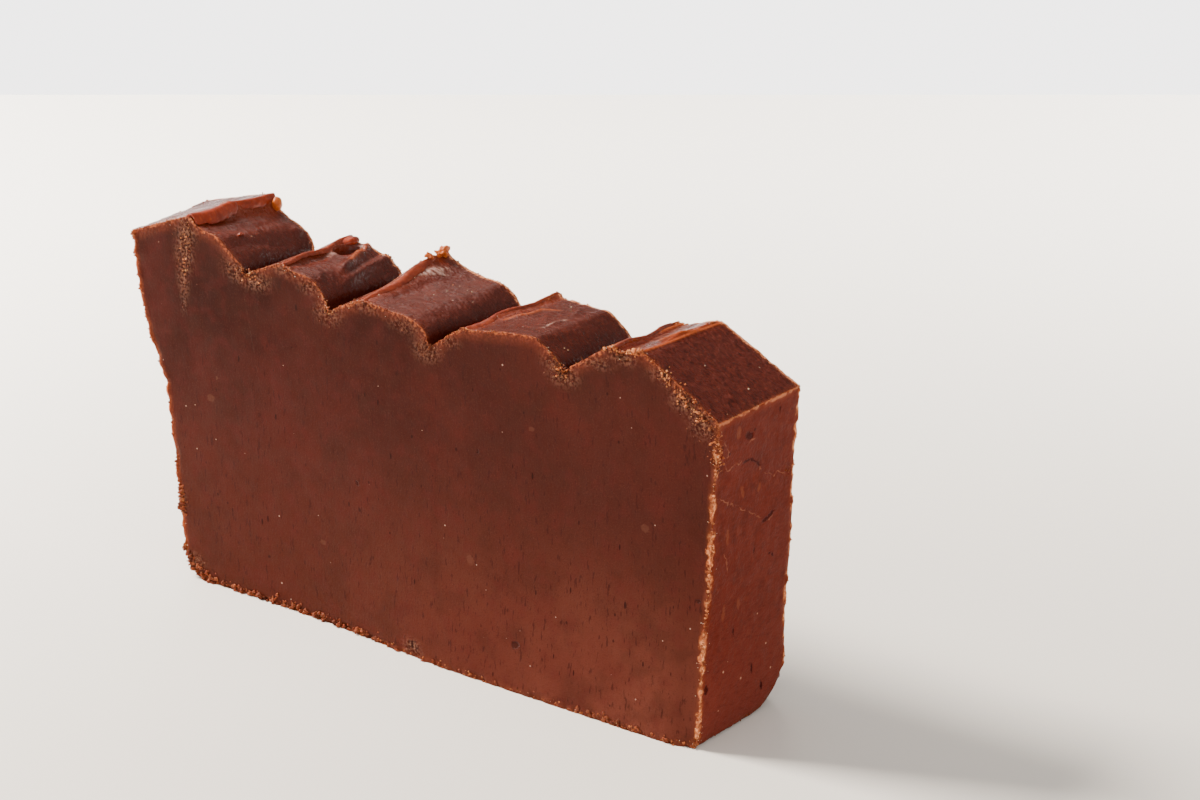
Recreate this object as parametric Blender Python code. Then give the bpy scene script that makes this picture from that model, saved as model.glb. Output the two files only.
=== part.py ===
"""A slice of chocolate fudge, standing on its base edge as it was cut from a hand-folded loaf.

Metres, +Z up. +X runs along the slice, +Y through its thickness, away from the front cut face.
The origin is the centre of the slice's box, on the surface that it stands on.

The top is a row of folds, laid over each other from left to right by the paddle. Each one rises
from the crease of the fold before it to a crest, drops over a thin lip, runs level to a shoulder and
rolls down into the next crease. The folds are given where they meet the two cut faces, and every
section between is worked out from those two.
"""

import math
from collections import namedtuple

import bmesh
import bpy
from mathutils import Matrix, Vector, noise

# The slice between its two cut faces
THICKNESS = 0.0240
FOOT_SWELL = 0.0029  # how far the front cut face stands forward along the base, where the knife ran out
FOOT_SWELL_FROM = -0.0280
FOOT_SWELL_RUN = 0.0450
FOOT_SWELL_CORNER = 0.0060  # it draws in again over this length, to a share of itself
FOOT_SWELL_AT_CORNER = 0.58

# One fold of the top, as it shows on a cut face: (x, z) of its points, the lip's (width, drop), how
# squarely it rolls down and how far its level part sags
Fold = namedtuple("Fold", "crest lip shoulder crease roundness sag")
FRONT_CORNER = (-0.0665, 0.0679)
FRONT_FOLDS = (
    Fold((-0.0514, 0.0736), (0.0027, 0.0023), (-0.0446, 0.0704), (-0.0375, 0.0650), 1.15, 0.0000),
    Fold((-0.0283, 0.0688), (0.0010, 0.0009), (-0.0231, 0.0675), (-0.0171, 0.0620), 1.60, 0.0000),
    Fold((-0.0089, 0.0657), (0.0010, 0.0003), (0.0009, 0.0647), (0.0068, 0.0602), 1.80, 0.0000),
    Fold((0.0149, 0.0655), (0.0014, 0.0004), (0.0307, 0.0670), (0.0372, 0.0624), 1.10, -0.0003),
    Fold((0.0474, 0.0689), (0.0014, 0.0009), (0.0490, 0.0681), (0.0500, 0.0680), 1.50, 0.0000),
    Fold((0.0530, 0.0691), (0.0003, 0.0000), (0.0549, 0.0687), (0.0698, 0.0599), 1.03, 0.0000),
)
BACK_CORNER = (-0.0701, 0.0674)
BACK_FOLDS = (
    Fold((-0.0523, 0.0722), (0.0016, 0.0032), (-0.0473, 0.0674), (-0.0415, 0.0618), 1.30, 0.0000),
    Fold((-0.0328, 0.0675), (0.0014, 0.0010), (-0.0262, 0.0657), (-0.0190, 0.0606), 1.50, 0.0001),
    Fold((-0.0095, 0.0693), (0.0012, 0.0012), (0.0035, 0.0654), (0.0097, 0.0595), 1.50, 0.0008),
    Fold((0.0168, 0.0662), (0.0016, 0.0008), (0.0283, 0.0649), (0.0350, 0.0590), 1.30, 0.0000),
    Fold((0.0437, 0.0663), (0.0014, 0.0006), (0.0446, 0.0657), (0.0452, 0.0656), 1.50, 0.0000),
    Fold((0.0520, 0.0681), (0.0003, 0.0000), (0.0542, 0.0676), (0.0696, 0.0599), 1.02, 0.0000),
)
RISE_SWELL = 1.06  # 1 is a straight rise to the crest, and more is a fuller one
CREST_WANDER = 0.0004  # how far a crest strays sideways between the cut faces
CREST_WAVES = 1.5

# A scooped pocket that tore open beside the second crest
POCKET_CENTRE = (-0.0285, 0.0070)
POCKET_REACH = (0.0019, 0.0026)
POCKET_DEPTH = 0.0021

# The left end: upright below, then a ledge, then flaring out to the top corner
LEFT_FOOT_FRONT = -0.0562
LEFT_FOOT_BACK = -0.0580
LEFT_LEAN = 0.085
LEDGE_HEIGHT = 0.0410
LEDGE_BLEND = 0.0022
FLARE_DEPTH = 0.0059
FLARE_POWER = 1.6
END_REACH = 0.0250  # how far into the slice an end's own form is felt

# The right end, almost upright
RIGHT_FOOT = 0.0671
RIGHT_WAVE = 0.0002
RIGHT_WAVE_LENGTH = 0.0260

# Rounding where an end meets the base
LEFT_BASE_ROUND = 0.0050
RIGHT_BASE_ROUND = 0.0008

# The right end's far bottom corner is broken away
BREAK_IN = 0.0055
BREAK_ALONG = 0.0085
BREAK_HEIGHT = 0.0068
BREAK_POWER = 2.3

# Crumbly relief where the knife broke the edges
CRAG_DEPTH = 0.00055
CRAG_SIZE = 0.0026
CRAG_REACH = 0.0022

# How finely each stretch of a fold, the thickness and the height are divided
RISE_STEPS = 4
LIP_STEPS = 2
LEVEL_STEPS = 3
FALL_STEPS = 5
END_STEPS = 8
THICKNESS_ROWS = (0.0, 0.05, 0.13, 0.25, 0.38, 0.5, 0.62, 0.73, 0.83, 0.92, 1.0)
HEIGHT_ROWS = (0.0, 0.025, 0.09, 0.18, 0.26, 0.42, 0.57, 0.61, 0.66, 0.78, 0.9, 0.97, 1.0)

# The ribbon that curls over the first crest, and the bead that it rolled into at its far end
RIBBON_THICKNESS = 0.0010
RIBBON_RADIUS = 0.0018
RIBBON_FROM_Y = -0.0116
RIBBON_TO_Y = 0.0018
RIBBON_ARC = math.radians(125)
RIBBON_ARC_STEPS = 6
RIBBON_LENGTH_STEPS = 7
BEAD_HALF_SIZE = (0.0012, 0.0013, 0.0016)
BEAD_FROM_CREST = (0.0014, -0.0017)
BEAD_Y = 0.0105
BEAD_SIDES = 12


def mix(a, b, share):
    return a + (b - a) * share


def ease(x):
    x = min(1.0, max(0.0, x))
    return x * x * (3.0 - 2.0 * x)


def mix_points(a, b, share):
    return tuple(mix(p, q, share) for p, q in zip(a, b))


def folds_at(depth):
    """The corner and the folds of the section at that share of the thickness, with the crests wandering."""
    share = ease(depth)
    corner = mix_points(FRONT_CORNER, BACK_CORNER, share)
    sections = []
    for number, (front, back) in enumerate(zip(FRONT_FOLDS, BACK_FOLDS)):
        phase = 2.0 * math.pi * (CREST_WAVES * depth + 0.37 * number)
        stray = CREST_WANDER * math.sin(phase) * math.sin(math.pi * depth)
        crest = mix_points(front.crest, back.crest, share)
        sections.append(
            Fold(
                (crest[0] + stray, crest[1] - 0.5 * stray),
                mix_points(front.lip, back.lip, share),
                mix_points(front.shoulder, back.shoulder, share),
                mix_points(front.crease, back.crease, share),
                mix(front.roundness, back.roundness, share),
                mix(front.sag, back.sag, share),
            )
        )
    return corner, sections


def fold_points(start, fold, rise_steps, fall_steps):
    """The points of one fold from just after its starting crease to its own crease."""
    points = []
    for step in range(1, rise_steps + 1):
        share = step / rise_steps
        swell = 1.0 - (1.0 - share) ** RISE_SWELL
        points.append((mix(start[0], fold.crest[0], share), mix(start[1], fold.crest[1], swell)))
    run = fold.shoulder[0] - fold.crest[0]
    foot = (fold.crest[0] + min(fold.lip[0], 0.5 * run), fold.crest[1] - fold.lip[1])
    for step in range(1, LIP_STEPS + 1):
        share = step / LIP_STEPS
        points.append((mix(fold.crest[0], foot[0], share), mix(fold.crest[1], foot[1], ease(share))))
    for step in range(1, LEVEL_STEPS + 1):
        share = step / LEVEL_STEPS
        x, z = mix_points(foot, fold.shoulder, share)
        points.append((x, z - 4.0 * fold.sag * share * (1.0 - share)))
    for step in range(1, fall_steps + 1):
        turn = 0.5 * math.pi * step / fall_steps
        along = math.sin(turn) ** (2.0 / fold.roundness)
        down = 1.0 - max(0.0, math.cos(turn)) ** (2.0 / fold.roundness)
        points.append((mix(fold.shoulder[0], fold.crease[0], along), mix(fold.shoulder[1], fold.crease[1], down)))
    return points


def top_line(depth):
    """The whole top of the section at that share of the thickness, from the left corner to the right one."""
    corner, sections = folds_at(depth)
    points = [corner]
    for number, fold in enumerate(sections):
        rise_steps = END_STEPS if number == 0 else RISE_STEPS
        fall_steps = END_STEPS if number == len(sections) - 1 else FALL_STEPS
        points += fold_points(points[-1], fold, rise_steps, fall_steps)
    return points


def pocket_dip(x, y):
    """How far the torn pocket lowers the top."""
    across = (x - POCKET_CENTRE[0]) / POCKET_REACH[0]
    along = (y - POCKET_CENTRE[1]) / POCKET_REACH[1]
    return POCKET_DEPTH * math.exp(-across * across - along * along)


def left_end(height, top, depth):
    """The left end's x at a height, on a section whose top corner is given."""
    foot = mix(LEFT_FOOT_FRONT, LEFT_FOOT_BACK, ease(depth))
    below = foot - LEFT_LEAN * height
    drop = max(0.0, top[1] - height) / (top[1] - LEDGE_HEIGHT)
    above = top[0] + FLARE_DEPTH * drop**FLARE_POWER
    return mix(below, above, ease((height - LEDGE_HEIGHT) / LEDGE_BLEND + 0.5))


def right_end(height, top):
    """The right end's x at a height: a straight lean with a slow wave."""
    straight = mix(RIGHT_FOOT, top[0], height / top[1])
    return straight + RIGHT_WAVE * math.sin(2.0 * math.pi * height / RIGHT_WAVE_LENGTH)


def rounded_lift(distance, radius):
    """How far a rounded edge stands off the base at a distance in from the end."""
    if distance >= radius:
        return 0.0
    inward = radius - max(0.0, distance)
    return radius - math.sqrt(max(0.0, radius * radius - inward * inward))


def base_lift(x, left, right, depth):
    """How far the base stands off the surface: rounded at both ends, and broken away at one corner."""
    broken = max(0.0, 1.0 - (right - x) / BREAK_IN - (1.0 - depth) * THICKNESS / BREAK_ALONG)
    lift = BREAK_HEIGHT * broken**BREAK_POWER
    return lift + rounded_lift(x - left, LEFT_BASE_ROUND) + rounded_lift(right - x, RIGHT_BASE_ROUND)


def foot_swell(x, right):
    """How far the foot of the front cut face stands forward."""
    swell = ease((x - FOOT_SWELL_FROM) / FOOT_SWELL_RUN)
    return FOOT_SWELL * swell * mix(FOOT_SWELL_AT_CORNER, 1.0, ease((right - x) / FOOT_SWELL_CORNER))


def slice_point(column, depth, rise, tops):
    """The place of the point at a column of the top line, a share of the thickness and a share of the height."""
    line = tops[depth]
    top_x, top_z = line[column]
    y = (depth - 0.5) * THICKNESS
    top_z -= pocket_dip(top_x, y)
    left_foot = mix(LEFT_FOOT_FRONT, LEFT_FOOT_BACK, ease(depth))
    along = (top_x - line[0][0]) / (line[-1][0] - line[0][0])
    foot_x = mix(left_foot, RIGHT_FOOT, along)
    z = mix(base_lift(foot_x, left_foot, RIGHT_FOOT, depth), top_z, rise)
    x = mix(foot_x, top_x, z / top_z)

    straight_left = mix(left_foot, line[0][0], z / line[0][1])
    nearness = max(0.0, 1.0 - (x - straight_left) / END_REACH)
    x += (left_end(z, line[0], depth) - straight_left) * nearness
    straight_right = mix(RIGHT_FOOT, line[-1][0], z / line[-1][1])
    nearness = max(0.0, 1.0 - (straight_right - x) / END_REACH)
    x += (right_end(min(z, line[-1][1]), line[-1]) - straight_right) * nearness

    y -= foot_swell(x, RIGHT_FOOT) * (1.0 - rise) ** 2 * (1.0 - depth)
    return Vector((x, y, z))


def crag(point, outward, closeness):
    """The broken relief near an edge: in and out along the given direction."""
    return outward * (CRAG_DEPTH * closeness * noise.noise(point / CRAG_SIZE))


def rows_of_box(bm, counts):
    """Cuts a unit cube's edges along X, Y and Z into that many equal steps each."""
    for axis, count in enumerate(counts):
        along = [
            edge
            for edge in bm.edges
            if abs(edge.verts[0].co[axis] - edge.verts[1].co[axis]) > 0.5
        ]
        bmesh.ops.subdivide_edges(bm, edges=along, cuts=count - 1, use_grid_fill=True)


def slice_body():
    """The slice as one closed mesh: a cube divided into rows, each vertex put in its place on the slice."""
    tops = {depth: top_line(depth) for depth in THICKNESS_ROWS}
    columns = len(tops[0.0]) - 1
    counts = (columns, len(THICKNESS_ROWS) - 1, len(HEIGHT_ROWS) - 1)
    bm = bmesh.new()
    bmesh.ops.create_cube(bm, size=1.0, matrix=Matrix.Translation((0.5, 0.5, 0.5)))
    rows_of_box(bm, counts)
    for vertex in bm.verts:
        column, row, level = (round(vertex.co[axis] * counts[axis]) for axis in range(3))
        depth, rise = THICKNESS_ROWS[row], HEIGHT_ROWS[level]
        point = slice_point(column, depth, rise, tops)
        edge_distance = min(depth, 1.0 - depth) * THICKNESS
        closeness = max(0.0, 1.0 - edge_distance / CRAG_REACH)
        if level == len(HEIGHT_ROWS) - 1:
            point += crag(point, Vector((0.0, 0.0, 1.0)), closeness)
        elif level > 0 and column == 0:
            point += crag(point, Vector((-1.0, 0.0, 0.0)), 1.0 + closeness)
        elif level > 0 and column == columns:
            point += crag(point, Vector((1.0, 0.0, 0.0)), 0.5 * closeness)
        vertex.co = point
    flat_base = [f for f in bm.faces if all(abs(v.co.z) < 1e-7 for v in f.verts)]
    base_edges = {e for f in flat_base for e in f.edges}
    base_verts = {v for f in flat_base for v in f.verts}
    bmesh.ops.dissolve_limit(
        bm, angle_limit=math.radians(0.2), verts=list(base_verts), edges=list(base_edges)
    )
    bmesh.ops.triangulate(bm, faces=bm.faces)
    return new_object("fudge", bm)


def ribbon_body():
    """The torn ribbon: a strip bent over the first crest, thinner and ragged towards its free edge."""
    bm = bmesh.new()
    rings = []
    for row in range(RIBBON_LENGTH_STEPS + 1):
        y = mix(RIBBON_FROM_Y, RIBBON_TO_Y, row / RIBBON_LENGTH_STEPS)
        _, sections = folds_at(y / THICKNESS + 0.5)
        crest = sections[0].crest
        middle = Vector((crest[0] + 0.2 * RIBBON_RADIUS, y, crest[1] - RIBBON_RADIUS))
        reach = RIBBON_ARC * (1.0 + 0.10 * math.sin(9.0 * row / RIBBON_LENGTH_STEPS))
        outer, inner = [], []
        for step in range(RIBBON_ARC_STEPS + 1):
            turn = mix(math.radians(-40), reach - math.radians(40), step / RIBBON_ARC_STEPS)
            way = Vector((math.sin(turn), 0.0, math.cos(turn)))
            half = 0.5 * RIBBON_THICKNESS * mix(1.0, 0.6, step / RIBBON_ARC_STEPS)
            outer.append(bm.verts.new(middle + way * (RIBBON_RADIUS + half)))
            inner.append(bm.verts.new(middle + way * (RIBBON_RADIUS - half)))
        rings.append(outer + inner[::-1])
    for near, far in zip(rings, rings[1:]):
        for step in range(len(near)):
            following = (step + 1) % len(near)
            bm.faces.new((near[step], near[following], far[following], far[step]))
    bm.faces.new(rings[0][::-1])
    bm.faces.new(rings[-1])
    bmesh.ops.recalc_face_normals(bm, faces=bm.faces)
    bmesh.ops.triangulate(bm, faces=bm.faces)
    return new_object("ribbon", bm)


def bead_body():
    """The bead at the ribbon's far end, hanging from the crest."""
    crest = BACK_FOLDS[0].crest
    middle = Vector((crest[0] + BEAD_FROM_CREST[0], BEAD_Y, crest[1] + BEAD_FROM_CREST[1]))
    bm = bmesh.new()
    bmesh.ops.create_uvsphere(
        bm,
        u_segments=BEAD_SIDES,
        v_segments=BEAD_SIDES // 2,
        radius=1.0,
        matrix=Matrix.Translation(middle) @ Matrix.Diagonal(Vector((*BEAD_HALF_SIZE, 1.0))),
    )
    bmesh.ops.triangulate(bm, faces=bm.faces)
    return new_object("bead", bm)


def new_object(name, bm):
    mesh = bpy.data.meshes.new(name)
    bm.to_mesh(mesh)
    bm.free()
    made = bpy.data.objects.new(name, mesh)
    bpy.context.scene.collection.objects.link(made)
    return made


def join(body, pieces):
    """One Boolean union of the body with a collection of pieces, applied, with the pieces then removed."""
    group = bpy.data.collections.new("joined_pieces")
    bpy.context.scene.collection.children.link(group)
    for piece in pieces:
        bpy.context.scene.collection.objects.unlink(piece)
        group.objects.link(piece)
    union = body.modifiers.new("join", "BOOLEAN")
    union.operation = "UNION"
    union.operand_type = "COLLECTION"
    union.collection = group
    union.solver = "EXACT"
    bpy.context.view_layer.update()
    evaluated = body.evaluated_get(bpy.context.evaluated_depsgraph_get())
    joined = bpy.data.meshes.new_from_object(evaluated)
    body.modifiers.clear()
    body.data = joined
    for piece in pieces:
        bpy.data.objects.remove(piece)
    bpy.data.collections.remove(group)


def stand_on_origin(body):
    """Moves the mesh so that the middle of the bottom of its box is the origin."""
    corners = [vertex.co for vertex in body.data.vertices]
    low = [min(c[axis] for c in corners) for axis in range(3)]
    high = [max(c[axis] for c in corners) for axis in range(3)]
    middle = Vector((0.5 * (low[0] + high[0]), 0.5 * (low[1] + high[1]), low[2]))
    body.data.transform(Matrix.Translation(-middle))


def fudge_material():
    """Chocolate fudge: mid brown, a little waxy, no metal."""
    material = bpy.data.materials.new("chocolate_fudge")
    material.use_nodes = True
    shader = material.node_tree.nodes["Principled BSDF"]
    shader.inputs["Base Color"].default_value = (0.130, 0.033, 0.019, 1.0)
    shader.inputs["Roughness"].default_value = 0.45
    shader.inputs["Metallic"].default_value = 0.0
    return material


def main():
    for old in list(bpy.data.objects):
        bpy.data.objects.remove(old)
    body = slice_body()
    join(body, [ribbon_body(), bead_body()])
    stand_on_origin(body)
    body.data.materials.clear()
    body.data.materials.append(fudge_material())
    body.data.shade_smooth()
    body.data.set_sharp_from_angle(angle=math.radians(35))


main()
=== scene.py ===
"""A slice of chocolate fudge, standing on its base as it was cut from a hand-folded loaf.

Metres, +Z up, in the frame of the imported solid. The slice itself is a cube cut into rows, put in the
slice's shape, smoothed by subdivision and then worked over with the marks that the paddle, the knife and
the fingers left. Thin torn lips lie along the folds, and crumbs and sugar grains cling to the cut edges.
Everything is shaped in the section's own frame, whose x runs along the slice and whose y is 0 half way
through its thickness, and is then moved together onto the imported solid.
"""

import math
import random
from collections import namedtuple

import bmesh
import bpy
import numpy as np
from mathutils import Matrix, Vector, noise
from mathutils.kdtree import KDTree


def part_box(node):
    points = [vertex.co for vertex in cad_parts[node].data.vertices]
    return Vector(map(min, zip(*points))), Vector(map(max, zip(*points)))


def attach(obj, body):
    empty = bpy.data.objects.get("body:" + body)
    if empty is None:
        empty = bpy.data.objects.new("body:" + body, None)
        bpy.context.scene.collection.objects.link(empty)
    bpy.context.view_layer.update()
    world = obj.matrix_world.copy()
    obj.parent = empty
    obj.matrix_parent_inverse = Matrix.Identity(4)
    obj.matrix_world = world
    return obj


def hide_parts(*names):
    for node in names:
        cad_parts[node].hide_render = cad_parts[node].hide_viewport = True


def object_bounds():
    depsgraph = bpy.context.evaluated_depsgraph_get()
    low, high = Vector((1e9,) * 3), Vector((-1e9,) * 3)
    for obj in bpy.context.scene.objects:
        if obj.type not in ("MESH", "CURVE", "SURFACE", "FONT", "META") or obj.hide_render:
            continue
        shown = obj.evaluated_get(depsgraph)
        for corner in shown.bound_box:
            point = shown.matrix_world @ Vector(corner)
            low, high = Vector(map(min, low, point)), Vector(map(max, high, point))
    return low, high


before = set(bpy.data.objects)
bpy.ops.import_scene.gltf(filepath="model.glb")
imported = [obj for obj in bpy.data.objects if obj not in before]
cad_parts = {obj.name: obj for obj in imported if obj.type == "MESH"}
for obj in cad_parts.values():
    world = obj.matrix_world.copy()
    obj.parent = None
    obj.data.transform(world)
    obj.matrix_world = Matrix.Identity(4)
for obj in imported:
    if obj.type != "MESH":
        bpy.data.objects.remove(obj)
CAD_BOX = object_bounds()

MM = 0.001

# The camera that took the portrait: where it stood, which way it looked and its lens
CAMERA_PLACE = (0.37157, -0.43185, 0.2533)
CAMERA_YAW = 37.78
CAMERA_PITCH = 20.06
CAMERA_LENS = 100.0
CAMERA_SENSOR = 36.0

# The slice between its two cut faces
THICKNESS = 0.0240
FOOT_SWELL = 0.0029
FOOT_SWELL_FROM = -0.0280
FOOT_SWELL_RUN = 0.0450
FOOT_SWELL_CORNER = 0.0060
FOOT_SWELL_AT_CORNER = 0.58

# One fold of the top, as it shows on a cut face: (x, z) of its points, the lip's (width, drop), how
# squarely it rolls down and how far its level part sags
Fold = namedtuple("Fold", "crest lip shoulder crease roundness sag")
FRONT_CORNER = (-0.0665, 0.0679)
FRONT_FOLDS = (
    Fold((-0.0514, 0.0736), (0.0027, 0.0023), (-0.0446, 0.0704), (-0.0375, 0.0650), 1.15, 0.0000),
    Fold((-0.0283, 0.0688), (0.0010, 0.0009), (-0.0231, 0.0675), (-0.0171, 0.0620), 1.60, 0.0000),
    Fold((-0.0089, 0.0657), (0.0010, 0.0003), (0.0009, 0.0647), (0.0068, 0.0602), 1.80, 0.0000),
    Fold((0.0149, 0.0655), (0.0014, 0.0004), (0.0307, 0.0670), (0.0372, 0.0624), 1.10, -0.0003),
    Fold((0.0474, 0.0689), (0.0014, 0.0005), (0.0490, 0.0684), (0.0500, 0.0683), 1.50, 0.0000),
    Fold((0.0530, 0.0691), (0.0003, 0.0000), (0.0549, 0.0687), (0.0698, 0.0599), 1.03, 0.0000),
)
BACK_CORNER = (-0.0701, 0.0674)
BACK_FOLDS = (
    Fold((-0.0523, 0.0722), (0.0016, 0.0032), (-0.0473, 0.0674), (-0.0415, 0.0618), 1.30, 0.0000),
    Fold((-0.0328, 0.0675), (0.0014, 0.0010), (-0.0262, 0.0657), (-0.0190, 0.0606), 1.50, 0.0001),
    Fold((-0.0095, 0.0693), (0.0012, 0.0012), (0.0035, 0.0654), (0.0097, 0.0595), 1.50, 0.0008),
    Fold((0.0168, 0.0662), (0.0016, 0.0008), (0.0283, 0.0649), (0.0350, 0.0590), 1.30, 0.0000),
    Fold((0.0437, 0.0663), (0.0014, 0.0004), (0.0446, 0.0660), (0.0452, 0.0659), 1.50, 0.0000),
    Fold((0.0520, 0.0681), (0.0003, 0.0000), (0.0542, 0.0676), (0.0696, 0.0599), 1.02, 0.0000),
)
RISE_SWELL = 1.06
CREST_WANDER = 0.0004
CREST_WAVES = 1.5
CREST_PHASE = 0.37  # of a wave, from one fold to the next
CREST_DROP = 0.5  # how far a crest goes down as it wanders to the right
# The lip's paleness is a painted glow of light through the thin skin
LIP_LOSS = 0.6  # how much of the lip's paleness is gone at its foot

# The two ends
LEFT_FOOT_FRONT = -0.0562
LEFT_FOOT_BACK = -0.0580
LEFT_LEAN = 0.085
LEDGE_HEIGHT = 0.0410
LEDGE_BLEND = 0.0022
FLARE_DEPTH = 0.0059
FLARE_POWER = 2.1
END_REACH = 0.0250
RIGHT_FOOT = 0.0671
RIGHT_WAVE = 0.0002
RIGHT_WAVE_LENGTH = 0.0260
LEFT_BASE_ROUND = 0.0050
RIGHT_BASE_ROUND = 0.0008
BREAK_IN = 0.0055
BREAK_ALONG = 0.0085
BREAK_HEIGHT = 0.0068
BREAK_POWER = 2.3

# How finely the cage is divided before it is smoothed
TOP_STEP = 0.0017
LIP_STEPS = 2
THICKNESS_ROWS = (
    0.0, 0.025, 0.07, 0.13, 0.2, 0.28, 0.36, 0.44, 0.52, 0.6, 0.68, 0.76, 0.84, 0.91, 0.965, 1.0,
)
HEIGHT_ROWS = (
    0.0, 0.012, 0.03, 0.06, 0.1, 0.15, 0.2, 0.25, 0.3, 0.35, 0.4, 0.45, 0.5, 0.55, 0.585, 0.605, 0.625, 0.67,
    0.72, 0.77, 0.82, 0.86, 0.9, 0.94, 0.97, 0.988, 1.0,
)
SMOOTH_LEVELS = 2

# The sides of the slice, in the order of its material slots
FRONT, BACK, LEFT, RIGHT, TOP, BASE = range(6)


def mix(a, b, share):
    return a + (b - a) * share


def ease(x):
    x = min(1.0, max(0.0, x))
    return x * x * (3.0 - 2.0 * x)


def mix_points(a, b, share):
    return tuple(mix(p, q, share) for p, q in zip(a, b))


def folds_at(depth):
    """The corner and the folds of the section at that share of the thickness, with the crests wandering."""
    corner = mix_points(FRONT_CORNER, BACK_CORNER, depth)
    sections = []
    for number, (front, back) in enumerate(zip(FRONT_FOLDS, BACK_FOLDS)):
        phase = 2.0 * math.pi * (CREST_WAVES * depth + CREST_PHASE * number)
        stray = CREST_WANDER * math.sin(phase) * math.sin(math.pi * depth)
        crest = mix_points(front.crest, back.crest, depth)
        sections.append(
            Fold(
                (crest[0] + stray, crest[1] - CREST_DROP * stray),
                mix_points(front.lip, back.lip, depth),
                mix_points(front.shoulder, back.shoulder, depth),
                mix_points(front.crease, back.crease, depth),
                mix(front.roundness, back.roundness, depth),
                mix(front.sag, back.sag, depth),
            )
        )
    return corner, sections


def steps_between(a, b, least):
    """How many steps a stretch of the top takes, from its length on the front cut face."""
    return max(least, round(math.dist(a, b) / TOP_STEP))


def top_steps():
    """The numbers of steps of every fold's rise, level part and fall."""
    steps = []
    start = FRONT_CORNER
    for fold in FRONT_FOLDS:
        foot = (fold.crest[0] + fold.lip[0], fold.crest[1] - fold.lip[1])
        steps.append(
            (
                steps_between(start, fold.crest, 3),
                steps_between(foot, fold.shoulder, 2),
                steps_between(fold.shoulder, fold.crease, 3),
            )
        )
        start = fold.crease
    return steps


def fold_points(start, fold, rise_steps, level_steps, fall_steps):
    """The points of one fold, from just after its starting crease to its own, each with its share of lip."""
    points = []
    for step in range(1, rise_steps + 1):
        share = step / rise_steps
        swell = 1.0 - (1.0 - share) ** RISE_SWELL
        point = (mix(start[0], fold.crest[0], share), mix(start[1], fold.crest[1], swell))
        points.append((*point, 1.0 if step == rise_steps else 0.0))
    run = fold.shoulder[0] - fold.crest[0]
    foot = (fold.crest[0] + min(fold.lip[0], 0.5 * run), fold.crest[1] - fold.lip[1])
    for step in range(1, LIP_STEPS + 1):
        share = step / LIP_STEPS
        point = (mix(fold.crest[0], foot[0], share), mix(fold.crest[1], foot[1], ease(share)))
        points.append((*point, 1.0 - LIP_LOSS * share))
    for step in range(1, level_steps + 1):
        share = step / level_steps
        x, z = mix_points(foot, fold.shoulder, share)
        points.append((x, z - 4.0 * fold.sag * share * (1.0 - share), 0.0))
    for step in range(1, fall_steps + 1):
        turn = 0.5 * math.pi * step / fall_steps
        along = math.sin(turn) ** (2.0 / fold.roundness)
        down = 1.0 - max(0.0, math.cos(turn)) ** (2.0 / fold.roundness)
        x = mix(fold.shoulder[0], fold.crease[0], along)
        points.append((x, mix(fold.shoulder[1], fold.crease[1], down), 0.0))
    return points


def top_line(depth):
    """The whole top of the section at that share of the thickness, from the left corner to the right one."""
    corner, sections = folds_at(depth)
    points = [(*corner, 0.0)]
    for fold, steps in zip(sections, top_steps()):
        points += fold_points(points[-1][:2], fold, *steps)
    return points


def left_end(height, top, depth):
    """The left end's x at a height, on a section whose top corner is given."""
    foot = mix(LEFT_FOOT_FRONT, LEFT_FOOT_BACK, ease(depth))
    below = foot - LEFT_LEAN * height
    drop = max(0.0, top[1] - height) / (top[1] - LEDGE_HEIGHT)
    above = top[0] + FLARE_DEPTH * drop**FLARE_POWER
    return mix(below, above, ease((height - LEDGE_HEIGHT) / LEDGE_BLEND + 0.5))


def right_end(height, top):
    """The right end's x at a height: a straight lean with a slow wave."""
    straight = mix(RIGHT_FOOT, top[0], height / top[1])
    return straight + RIGHT_WAVE * math.sin(2.0 * math.pi * height / RIGHT_WAVE_LENGTH)


def rounded_lift(distance, radius):
    """How far a rounded edge stands off the base at a distance in from the end."""
    if distance >= radius:
        return 0.0
    inward = radius - max(0.0, distance)
    return radius - math.sqrt(max(0.0, radius * radius - inward * inward))


def base_lift(x, left, right, depth):
    """How far the base stands off the surface: rounded at both ends, and broken away at one corner."""
    broken = max(0.0, 1.0 - (right - x) / BREAK_IN - (1.0 - depth) * THICKNESS / BREAK_ALONG)
    lift = BREAK_HEIGHT * broken**BREAK_POWER
    return lift + rounded_lift(x - left, LEFT_BASE_ROUND) + rounded_lift(right - x, RIGHT_BASE_ROUND)


def foot_swell(x, right):
    """How far the foot of the front cut face stands forward."""
    swell = ease((x - FOOT_SWELL_FROM) / FOOT_SWELL_RUN)
    return FOOT_SWELL * swell * mix(FOOT_SWELL_AT_CORNER, 1.0, ease((right - x) / FOOT_SWELL_CORNER))


def slice_point(column, depth, rise, tops):
    """The place of a point, from its column in the top line and its shares of the thickness and height."""
    line = tops[depth]
    top_x, top_z, _ = line[column]
    y = (depth - 0.5) * THICKNESS
    left_foot = mix(LEFT_FOOT_FRONT, LEFT_FOOT_BACK, ease(depth))
    along = (top_x - line[0][0]) / (line[-1][0] - line[0][0])
    foot_x = mix(left_foot, RIGHT_FOOT, along)
    z = mix(base_lift(foot_x, left_foot, RIGHT_FOOT, depth), top_z, rise)
    x = mix(foot_x, top_x, z / top_z)

    straight_left = mix(left_foot, line[0][0], z / line[0][1])
    nearness = max(0.0, 1.0 - (x - straight_left) / END_REACH)
    x += (left_end(z, line[0], depth) - straight_left) * nearness
    straight_right = mix(RIGHT_FOOT, line[-1][0], z / line[-1][1])
    nearness = max(0.0, 1.0 - (straight_right - x) / END_REACH)
    x += (right_end(min(z, line[-1][1]), line[-1]) - straight_right) * nearness

    y -= foot_swell(x, RIGHT_FOOT) * (1.0 - rise) ** 2 * (1.0 - depth)
    return Vector((x, y, z))


# Making the cage


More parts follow.
